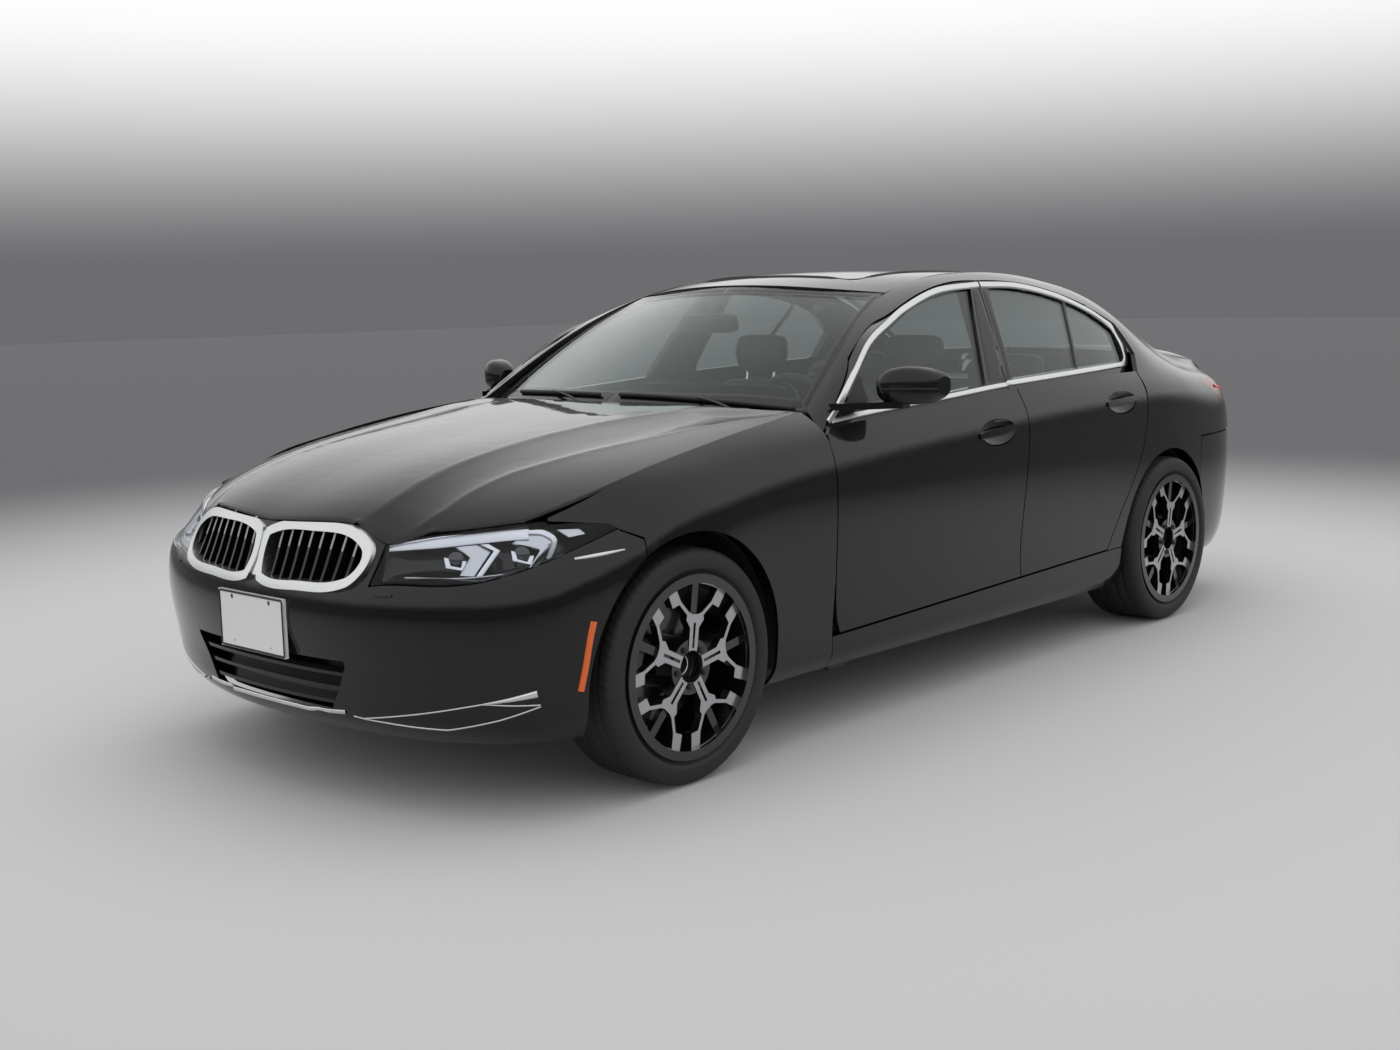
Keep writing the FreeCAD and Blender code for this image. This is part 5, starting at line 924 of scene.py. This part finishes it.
guide("low_line", [(2238, 520, 642), (2194, 640, 645), (2151, 705, 649), (2085, 742, 652)],
      [(2238, 520, 637), (2194, 640, 640), (2151, 705, 644), (2085, 742, 648)], 0.012, REFLECTOR, crown=0.001,
      wall=0.004)


print("lamp bowl", bowl.shape)


# %% Projector lenses
def dome(centre, direction, radius, height, rings=14, sides=40):
    """Disc rows r = radius * k / n raised by height * (1 - (r / radius)^2) along the direction."""
    d = np.array(direction, float) / np.linalg.norm(direction)
    side = np.cross(d, (0, 0, 1.0))
    side /= np.linalg.norm(side)
    up = np.cross(side, d)
    a = np.linspace(0, 2 * np.pi, sides, endpoint=False)[None, :, None]
    r = np.linspace(0, 1, rings)[:, None, None]
    return np.array(centre) + radius * r * (np.cos(a) * side + np.sin(a) * up) + d * height * (1 - r ** 2)


EYE = finish("projector_eye", (0.01, 0.011, 0.016), 0.05, scale=300, Coat_Weight=1.0, Coat_Roughness=0.02,
             spread=0.02)
for name, spot in (("inner", (2160, 634, 686)), ("outer", (2052, 765, 698))):
    eye = drawn(spot)[0]
    pair("eye_" + name, facing(dome(eye + DEEP * 0.026, -DEEP, 0.021, 0.008), DEEP), EYE, ROOT, "lamp_clear",
         closed_v=True)
print("headlamp pieces laid")

# %% [markdown]
# ## Grille bridge and slat tips
# The two bright frames meet at the middle in a short pressed bridge. It is a bar that
# follows the frames' own nose, with both its long edges and its ends turned back. Each
# black slat gets a satin tip below the frame: a painted highlight where the slat curves
# over and catches the light.

# %% Bridge between the frames, slat tips
# Satin on the slat tips is a painted highlight: the real slats are black and shine only where they curve over.
SLAT_HIGHLIGHT_SATIN = finish("slat_highlight_satin", (0.30, 0.30, 0.31), 0.3, metal=1.0, scale=700, spread=0.03)
BEFORE, TURNED_BACK = 2.6, 0.02
FIRST_SLAT, SLAT_PITCH, SLATS = 0.0655, 0.0415, 8
level = np.linspace(0.612, 0.728, 40)
spine = settle(np.stack([BEFORE + 0 * level, 0.022 + 0 * level, level], axis=1), BACKWARD, "grille_frames")
t = np.r_[-1, np.linspace(-1, 1, 11), 1]
bridge = spine[:, None, :] * (1, 0, 1) + np.stack([-0.004 - 0.004 * t ** 2, 0.016 * t, 0 * t], axis=1)[None]
bridge[:, [0, -1], 0] -= TURNED_BACK
bridge = np.concatenate([bridge[:1] - (TURNED_BACK, 0, 0), bridge, bridge[-1:] - (TURNED_BACK, 0, 0)])
one("grille_bridge", facing(bridge, BACKWARD), SATIN_METAL, "root", "satin_chrome")

slats = triangles("grille_bars").reshape(-1, 3)
slats = slats[slats[:, 2] > 0.5]
tips = []
for k, y in enumerate(FIRST_SLAT + SLAT_PITCH * np.arange(SLATS)):
    top = slats[np.abs(slats[:, 1] - y) < 0.006, 2].max()
    tip = np.linspace((BEFORE, y, top - 0.046), (BEFORE, y, top - 0.002), 24)
    tips += pair("slat_tip_%d" % k, strip(tip, 0.0075, BACKWARD, ("grille_bars",), crown=0.0012), SLAT_HIGHLIGHT_SATIN, ROOT,
                 "satin_chrome")
print("slat tips", len(tips), "bridge at x", spine[:, 0].min().round(4), spine[:, 0].max().round(4))

# %% [markdown]
# ## Front bumper trim
# A satin line edges the splitter, a thinner one outlines the corner fin, a silver stroke
# runs under the outer end of the lamp, and an amber reflector stands ahead of each front
# wheel. A small black sensor sits under the inner corner of each lamp.

# %% Bumper lines
SLANT = (-0.72, -0.69, 0)
BUMPER = ("front_bumper",)
trim("lip_line", [(2340, 0, 259), (2330, 120, 259), (2318, 230, 261), (2304, 326, 268)], 70, 0.012, BACKWARD, BUMPER,
     SATIN_METAL, ROOT, "satin_chrome", crown=0.002)
trim("fin_line_low", [(2268, 330, 260), (2281, 388, 256), (2230, 520, 248), (2194, 621, 246), (2120, 740, 280),
                      (2058, 829, 314)],
     90, 0.004, SLANT, BUMPER, SATIN_METAL, ROOT, "satin_chrome", ease=0.2, crown=0.0012)
trim("fin_line_high", [(2281, 388, 258), (2230, 560, 290), (2165, 724, 324), (2110, 780, 320), (2060, 829, 318)],
     70, 0.004, SLANT, BUMPER, SATIN_METAL, ROOT, "satin_chrome", ease=0.2, crown=0.0012)
trim("fin_blade", [(2164, 727, 326), (2115, 776, 336), (2067, 827, 348)], 40, np.linspace(0.004, 0.020, 40), SLANT,
     BUMPER,
     SATIN_METAL, ROOT, "satin_chrome", crown=0.004)
trim("lamp_stroke", [(1946, 850, 682), (1886, 872, 686), (1804, 890, 691)], 50,
     0.006 * np.sin(np.linspace(0.35, 2.9, 50)) + 0.003,
     SLANT, ("front_bumper", "fenders"), SATIN_METAL, ROOT, "satin_chrome", crown=0.003)
trim("amber_reflector", [(1921, 884, 520), (1935, 884, 470), (1948, 884, 400), (1960, 880, 340)], 50, 0.020,
     (-0.3, -0.95, 0), BUMPER,
     AMBER, ROOT, "dark_plastic", crown=0.004)
trim("front_sensor", [(2262, 466, 598), (2240, 522, 600)], 24, 0.014 * np.sin(np.linspace(0.4, 2.74, 24)), BACKWARD,
     BUMPER,
     MATT_BLACK, ROOT, "dark_plastic", crown=0.002)
print("bumper lines laid")

# %% [markdown]
# ## Air guide behind the intake
# A dark moulded panel stands behind the lower intake and leads the air to the radiator, so
# that nobody looks through the bumper. It is a shallow bowed sheet, x falling with y^2.

# %% Air guide
GUIDE_X, GUIDE_BOW = 2.215, 0.15
guide_sheet = np.stack([*np.meshgrid(np.linspace(-0.5, 0.5, 40), np.linspace(0.235, 0.42, 12), indexing="ij")],
                       axis=-1)
guide_sheet = np.concatenate([GUIDE_X - GUIDE_BOW * guide_sheet[..., :1] ** 2, guide_sheet], axis=-1)
one("intake_air_guide", facing(guide_sheet, BACKWARD), MATT_BLACK, "root", "dark_plastic")
print("air guide", guide_sheet.shape[:2])

# %% [markdown]
# ## Number plate
# A blank painted plate in a black frame, with two screws. The plate itself is the CAD
# piece; the frame is a bar bent round it and the screws are domes.

# %% Plate frame and screws
FRAME_INSET = 0.004
(_, _, plate_foot), (plate_front, plate_side, plate_top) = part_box("front_plate")
side, foot, top = plate_side - FRAME_INSET, plate_foot + FRAME_INSET, plate_top - FRAME_INSET
path = [(plate_front, y, z) for y, z in ((side, foot), (side, top), (-side, top), (-side, foot), (side, foot))]
path = smooth_line(path, 160, ease=0) - (0.002, 0, 0)
seal(one("plate_frame", tube(path, 0.0042, 10, hint=(1.0, 0, 0)), GLOSS_BLACK, "root", "black_trim", closed_v=True))
for name, y in (("left", 0.09), ("right", -0.09)):
    screw = dome((plate_front, y, top - 0.012), FORWARD, 0.006, 0.0022, 8, 20)
    one("plate_screw_" + name, facing(screw, BACKWARD), STEEL, "root", "cast_metal", closed_v=True)
print("plate frame", round(2 * side, 3), "by", round(top - foot, 3), "m")

# %% [markdown]
# ## Rear lamps, plate and reflectors
# The rear lamps are red boxes that wrap the corners, split where the boot lid opens, with
# a brighter light bar through both parts and, on the lid, a smoked band below it. The CAD
# pieces carry the red lens; bars are strips settled on them. The blank plate, in a thin
# frame on its holder, rides on the lid.

# %% Light bars in the rear lamps
GLOW = finish("red_light_bar", (0.55, 0.012, 0.012), 0.25, scale=600, grain=0.2, depth=0.0004, spread=0.05,
              Emission_Color=(1.0, 0.03, 0.02, 1.0), Emission_Strength=0.12)
SMOKE = finish("smoked_lens", (0.012, 0.002, 0.002), 0.08, scale=300, Coat_Weight=0.8, Coat_Roughness=0.02,
               spread=0.02)
trim("lid_light_bar", [(-2290, 362, 862), (-2270, 470, 868), (-2240, 580, 876), (-2200, 676, 882)], 60, 0.012,
     FORWARD, ("lid_lamps",),
     GLOW, LID, "lamp_red", crown=0.002)
trim("lid_smoked_band", [(-2290, 372, 846), (-2270, 470, 846), (-2240, 580, 843), (-2200, 670, 838)], 60, 0.014,
     FORWARD, ("lid_lamps",),
     SMOKE, LID, "lamp_red", crown=0.001)
trim("tail_light_bar", [(-2180, 722, 884), (-2120, 800, 890), (-2000, 838, 902), (-1880, 846, 914)], 70, 0.012,
     (0.62, -0.78, 0), ("tail_lamps",), GLOW, ROOT, "lamp_red", crown=0.002)
print("rear light bars laid")

# %% Rear plate, holder and frame
rows, cols = np.linspace(0.748, 0.894, 12), np.linspace(-0.153, 0.153, 24)
sheet = np.stack(np.meshgrid(np.array([-2.6]), cols, rows, indexing="ij"), axis=-1)[0]
sheet = settle(sheet, FORWARD, "trunk_lid")
fit = np.polyfit(rows, sheet[12, :, 0], 1)
sheet[..., 0] = np.polyval(fit, rows)[None, :]
sheet[..., 0] += min(0.0, float((settle(sheet, FORWARD, "trunk_lid") - sheet)[..., 0].min())) - 0.004
one("rear_plate", facing(sheet, FORWARD), PLATE, "trunk_lid", "plate_white")
holder = pillow(sheet[[0, -1], [0, -1]].mean(0) + (0.0095, 0, 0), (0.009, 0.150, 0.070), 16.0,
                turn=float(np.arctan(fit[0])))
seal(one("rear_plate_holder", holder, MATT_BLACK, "trunk_lid", "dark_plastic", closed_u=True))
corners = sheet[[0, 0, -1, -1, 0], [0, -1, -1, 0, 0]]
rear_frame = tube(smooth_line(corners, 140, ease=0), 0.0045, 10, hint=(1.0, 0, 0))
seal(one("rear_plate_frame", rear_frame, GLOSS_BLACK, "trunk_lid", "black_trim", closed_v=True))
print("rear plate at x", sheet[..., 0].min().round(3), "to", sheet[..., 0].max().round(3))

# %% Lower panel and reflectors
base_low = smooth_line(drawn((-2360, -520, 246), (-2360, 0, 246), (-2360, 520, 246)), 60)
base_high = smooth_line(drawn((-2360, -560, 372), (-2360, 0, 372), (-2360, 560, 372)), 60)
one("rear_lower_panel", film(base_low, base_high, FORWARD, ("rear_bumper",), rows=14, lift=0.0015), MATT_BLACK,
    "root", "dark_plastic")
trim("rear_reflector", [(-2300, 700, 420), (-2300, 712, 470), (-2300, 716, 520)], 30, 0.022, (0.8, -0.6, 0),
     ("rear_bumper",),
     RED_LENS, ROOT, "lamp_red", crown=0.003)


print("lower panel and reflectors laid")


# %% Seal behind the bumper joint
joint = drawn((-1640, 882, 727), (-1800, 864, 725), (-2005, 814, 725), (-2120, 752, 726), (-2176, 700, 727))
for obj in pair("bumper_joint_seal", tube(smooth_line(joint, 60), 0.010), MATT_BLACK, ROOT, "dark_plastic",
                closed_v=True):
    seal(obj)


print("bumper joint seals laid")


# %% Exhaust ends
def sleeve(centre, radius, length, wall=0.003):
    """Rounded collar spun about the x axis: outer wall, rolled lip, inner wall."""
    a = np.linspace(0, 2 * np.pi, 56, endpoint=False)[None, :]
    x, r = np.array([(0, radius), (-0.85 * length, radius), (-0.97 * length, radius - 0.0004),
                     (-length, radius - wall / 2), (-0.97 * length, radius - wall),
                     (-0.3 * length, radius - wall - 0.004)]).T[:, :, None]
    return np.stack([centre[0] + x + 0 * a, centre[1] + r * np.cos(a), centre[2] + r * np.sin(a)], axis=-1)


pipe = triangles("exhaust").reshape(-1, 3)
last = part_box("exhaust")[0][0]
end = pipe[(pipe[:, 0] < last + 0.001) & (pipe[:, 1] > 0)]
middle, tip_r = (end.min(0) + end.max(0)) / 2, np.ptp(end[:, 1]) / 2 + 0.0015
collar = sleeve((last + 0.03, middle[1], middle[2]), tip_r, 0.036)
pair("pipe_collar", collar, BRIGHT_METAL, ROOT, "satin_chrome", closed_v=True)
print("exhaust end at", middle.round(3), "radius", round(float(tip_r), 4))

# %% [markdown]
# ## Seats
# Each seat is foam under sewn leather: a middle panel with cross channels between two
# raised side rolls, all pulled in along the seams. A section carried along the seat's own
# centre line gives the whole cushion. Its ends close in a rounded cap, the rolls are a
# smooth rise at the sides of the face, and the seams are narrow valleys taken off it.

# %% Padded sweep
def bell(distance, width):
    """exp(-(distance / width)^2)."""
    return np.exp(-(distance / width) ** 2)


def cushion(line, across, half_width, half_thick, rolls=0.0, seam_at=0.56, channels=(), power=3.2, count=(90, 84)):
    """Section (w * c, h * s) with c, s = signed powers of cos and sin; caps scale both by (1 - |s|^6)^(1/6).

    The face side rises by rolls * step(|c| past the seam) and sinks by narrow bell curves along the seams."""
    n, m = count
    s = np.sin(np.linspace(-np.pi / 2, np.pi / 2, n))
    path = smooth_line(line, 200)
    at = (s + 1) / 2 * 199
    middle = np.stack([np.interp(at, np.arange(200), path[:, k]) for k in range(3)], axis=1)
    run = np.gradient(path, axis=0)
    run = np.stack([np.interp(at, np.arange(200), run[:, k]) for k in range(3)], axis=1)
    across = np.array(across, float)
    out = np.cross(run, across)
    out /= np.linalg.norm(out, axis=1, keepdims=True)
    a = np.linspace(0, 2 * np.pi, 2000)
    shape = np.stack([signed(np.cos(a), 2 / power), 0.3 * signed(np.sin(a), 2 / power)], axis=1)
    length = np.r_[0, np.cumsum(np.linalg.norm(np.diff(shape, axis=0), axis=1))]
    pick = np.interp(np.linspace(0, length[-1], m, endpoint=False), length, a)
    c, h = signed(np.cos(pick), 2 / power)[None, :], signed(np.sin(pick), 2 / power)[None, :]
    cap = ((1 - np.abs(s) ** 6).clip(0) ** (1 / 6))[:, None]
    step = np.clip((np.abs(c) - seam_at) / 0.3, 0, 1)
    step = step * step * (3 - 2 * step)
    face = np.clip(h * 3, 0, 1) * cap
    rise = rolls * step * (1 - 0.6 * np.clip(np.abs(c) - 0.9, 0, 1) * 10)
    rise = rise - 0.006 * bell(np.abs(c) - seam_at, 0.022) + 0.006 * (1 - c ** 2)
    for k in channels:
        rise = rise - 0.005 * bell(s[:, None] - k, 0.018) * (np.abs(c) < seam_at)
    width = np.interp(s, np.linspace(-1, 1, len(half_width)), half_width)[:, None]
    thick = np.interp(s, np.linspace(-1, 1, len(half_thick)), half_thick)[:, None]
    side = (width * c * cap)[..., None] * across
    lift = (thick * h * cap + rise * face)[..., None] * out[:, None, :]
    return middle[:, None, :] + side + lift


def soft(name, grid):
    """A closed padded leather piece that stands for the CAD seats."""
    obj = seal(one(name, grid, LEATHER, "root", "seat_cover", closed_v=True))
    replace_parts(obj, "seats")
    return obj


# %% Front seats and rear bench
Y = (0, 1.0, 0)
FRONT_Y, REAR_Y, REAR_HEAD_Y = 0.370, 0.283, 0.36
for side, y in (("left", FRONT_Y), ("right", -FRONT_Y)):
    base = drawn((318, 0, 398), (200, 0, 408), (40, 0, 396), (-110, 0, 384)) + (0, y, 0)
    back = drawn((-130, 0, 400), (-168, 0, 560), (-186, 0, 720), (-222, 0, 880), (-256, 0, 1000)) + (0, y, 0)
    head = drawn((-272, 0, 1032), (-274, 0, 1100), (-284, 0, 1180)) + (0, y, 0)
    soft("front_cushion_" + side, cushion(base, Y, (0.245, 0.255, 0.255, 0.25), (0.052, 0.056, 0.06, 0.05),
                                          rolls=0.012, channels=(-0.3, 0.1, 0.5)))
    soft("front_back_" + side, cushion(back, Y, (0.235, 0.255, 0.25, 0.205), (0.052, 0.05, 0.046, 0.032), rolls=0.014,
                                       channels=(-0.45, -0.15, 0.15, 0.45)))
    soft("front_headrest_" + side, cushion(head, Y, (0.105, 0.128, 0.12), (0.030, 0.037, 0.030), seam_at=0.75,
                                           count=(50, 60)))
    for k, d in enumerate((-0.07, 0.07)):
        post = tube(np.linspace((-0.2655, y + d, 0.985), (-0.2755, y + d, 1.045), 10), 0.007)
        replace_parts(one("headrest_post_%s_%d" % (side, k), post, BRIGHT_METAL, "root", "satin_chrome", closed_v=True),
                    "seats")
    foot = pillow((0.0515, y, 0.266), (0.2, 0.19, 0.072), 8.0)
    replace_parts(seal(one("seat_base_" + side, foot, MATT_BLACK, "root", "dark_plastic", closed_u=True)), "seats")
for side, y in (("left", REAR_Y), ("right", -REAR_Y)):
    base = drawn((-532, 0, 398), (-640, 0, 404), (-780, 0, 392), (-880, 0, 380)) + (0, y, 0)
    back = drawn((-908, 0, 400), (-948, 0, 600), (-986, 0, 790), (-1022, 0, 925)) + (0, y, 0)
    head = drawn((-1014, 0, 940), (-1022, 0, 1005), (-1034, 0, 1078)) + (0, y * REAR_HEAD_Y / REAR_Y, 0)
    soft("rear_cushion_" + side, cushion(base, Y, (0.265, 0.272, 0.272, 0.27), (0.052, 0.056, 0.058, 0.05),
                                         channels=(-0.4, 0.0, 0.4)))
    soft("rear_back_" + side, cushion(back, Y, (0.26, 0.27, 0.27, 0.255), (0.052, 0.052, 0.045, 0.03),
                                      channels=(-0.4, 0.0, 0.4)))
    soft("rear_headrest_" + side, cushion(head, Y, (0.105, 0.125, 0.115), (0.030, 0.036, 0.030), seam_at=0.75,
                                          count=(50, 60)))
print("seat pieces laid")

# %% [markdown]
# ## Dashboard, floor and door cards
# Through the tinted panes one sees the wheel, a long dark screen, and the seats. With a
# door open there is carpet on the floor and a soft card inside the door with an armrest.
# The card is the door's inner face lifted a few millimetres, with a swelling for the arm.

# %% Screen, carpet, door cards
dress("dashboard", finish("dash_skin", (0.018, 0.018, 0.019), 0.7, grain=0.5, scale=700, depth=0.0006, spread=0.06))
seal(one("dash_screen", pillow((0.655, 0.19, 1.000), (0.006, 0.33, 0.048), 8.0, turn=0.2), GLOSS_BLACK, "root",
         "black_trim", closed_u=True))
PILE = 0.006
carpet = np.meshgrid(np.linspace(-0.50, 0.86, 80), np.linspace(-0.62, 0.62, 90), indexing="ij")
carpet = settle(np.stack(carpet + [np.full((80, 90), 0.8)], axis=-1), DOWN, "floor_pan") + (0, 0, PILE)
one("cabin_carpet", facing(carpet, DOWN), CARPET, "root", "dark_plastic")


def card(name, node, x0, x1, z0, z1, bodies):
    """Inner face of the door with what lies over 10 mm deeper than its middle line cut off, lifted 4 mm plus an
    armrest swelling ARM_SWELL * exp(-((z - ARM_Z) / 0.04)^4), both fading to nothing at the rim."""
    x, z = np.linspace(x0, x1, 90), np.linspace(z0, z1, 60)
    base = settle(np.stack(np.meshgrid(x, [0.0], z, indexing="ij"), axis=-1)[:, 0], OUT, node)
    u = np.linspace(-1, 1, 90)[:, None]
    rim = (1 - np.abs(u) ** 16) * (1 - np.abs(np.linspace(-1, 1, 60)[None, :]) ** 16)
    swell = ARM_SWELL * np.exp(-((z[None, :] - ARM_Z) / 0.04) ** 4) * (1 - np.abs(u) ** 6)
    base[..., 1] = np.minimum(base[..., 1], np.median(base[..., 1], axis=0)[None, :] + 0.01) - (0.004 + swell) * rim
    pair(name, facing(base, OUT), MATT_BLACK, bodies, "dark_plastic")


ARM_Z, ARM_SWELL = 0.70, 0.045
card("front_door_card", "front_door_left", -0.12, 0.80, 0.42, 0.90, DOORS_F)
card("rear_door_card", "rear_door_left", -0.90, -0.30, 0.46, 0.92, DOORS_R)
print("screen, carpet and door cards laid")

# %% [markdown]
# ## Boot lining
# Under the open lid one sees a carpeted tub that covers the wheel housings. Its plan is a
# rounded rectangle, its wall runs down from the rim and turns into the floor by a curve,
# and over the wheels the rim spreads into a flange that reaches towards the quarter panels.

# %% Boot lining
BOOT_X, BOOT_LONG, BOOT_WIDE, BOOT_FLOOR = -1.775, 0.412, 0.575, 0.347
turn = np.linspace(0, 2 * np.pi, 160, endpoint=False)[None, :]
plan_x, plan_y = BOOT_X + BOOT_LONG * signed(np.cos(turn), 0.25), BOOT_WIDE * signed(np.sin(turn), 0.25)
bend = np.linspace(0, np.pi / 2, 8)
shrink = np.r_[np.ones(14), np.cos(bend) * 0.06 + 0.94, np.linspace(0.94, 0, 14)[1:]][:, None]
fall = np.r_[np.linspace(1, 0.1, 14), 0.1 - 0.1 * np.sin(bend), np.zeros(13)][:, None]
over_wheels = 1 / (1 + np.exp(-(plan_x + 2.02) / 0.03))
rim_z = 0.705 + 0.155 * over_wheels
tub = np.stack([BOOT_X + (plan_x - BOOT_X) * shrink, plan_y * shrink, BOOT_FLOOR + (rim_z - BOOT_FLOOR) * fall],
               axis=-1)
spread = np.stack([np.ones_like(over_wheels), 1 + 0.18 * over_wheels, np.ones_like(over_wheels)], axis=-1)
tub = np.concatenate([tub[:1] * spread, tub])
seal(one("boot_lining", facing(tub, DOWN), CARPET, "root", "dark_plastic", closed_v=True))
print("boot lining", tub.shape[:2], "rim from", rim_z.min().round(3), "to", rim_z.max().round(3))

# %% [markdown]
# ## Door mirrors
# The cap is painted, its lower half is black plastic with a thin joint between, and the
# silvered glass fills the side that faces back.

# %% Mirror joint and glass
trim("mirror_joint", [(640, 882, 1044), (680, 905, 1046), (686, 950, 1046), (655, 990, 1046), (606, 1018, 1044),
                      (560, 1032, 1042)],
     60, 0.005, (-0.8, -0.6, 0), ("mirror_left",), MATT_BLACK, DOORS_F, "black_trim", crown=0.0006)
y, v = np.linspace(0.902, 1.008, 24)[:, None], np.linspace(-1, 1, 18)[None, :]
pane = np.stack([0.3 + 0 * y * v, y + 0 * v, 1.052 + 0.038 * v * (1 - 0.25 * ((y - 0.955) / 0.053) ** 4)], axis=-1)
pane = settle(pane, FORWARD, "mirror_left") - (0.0015, 0, 0)
pair("mirror_glass", facing(pane, FORWARD), MIRROR, DOORS_F, "black_trim")
print("mirror glass", pane.shape[:2])
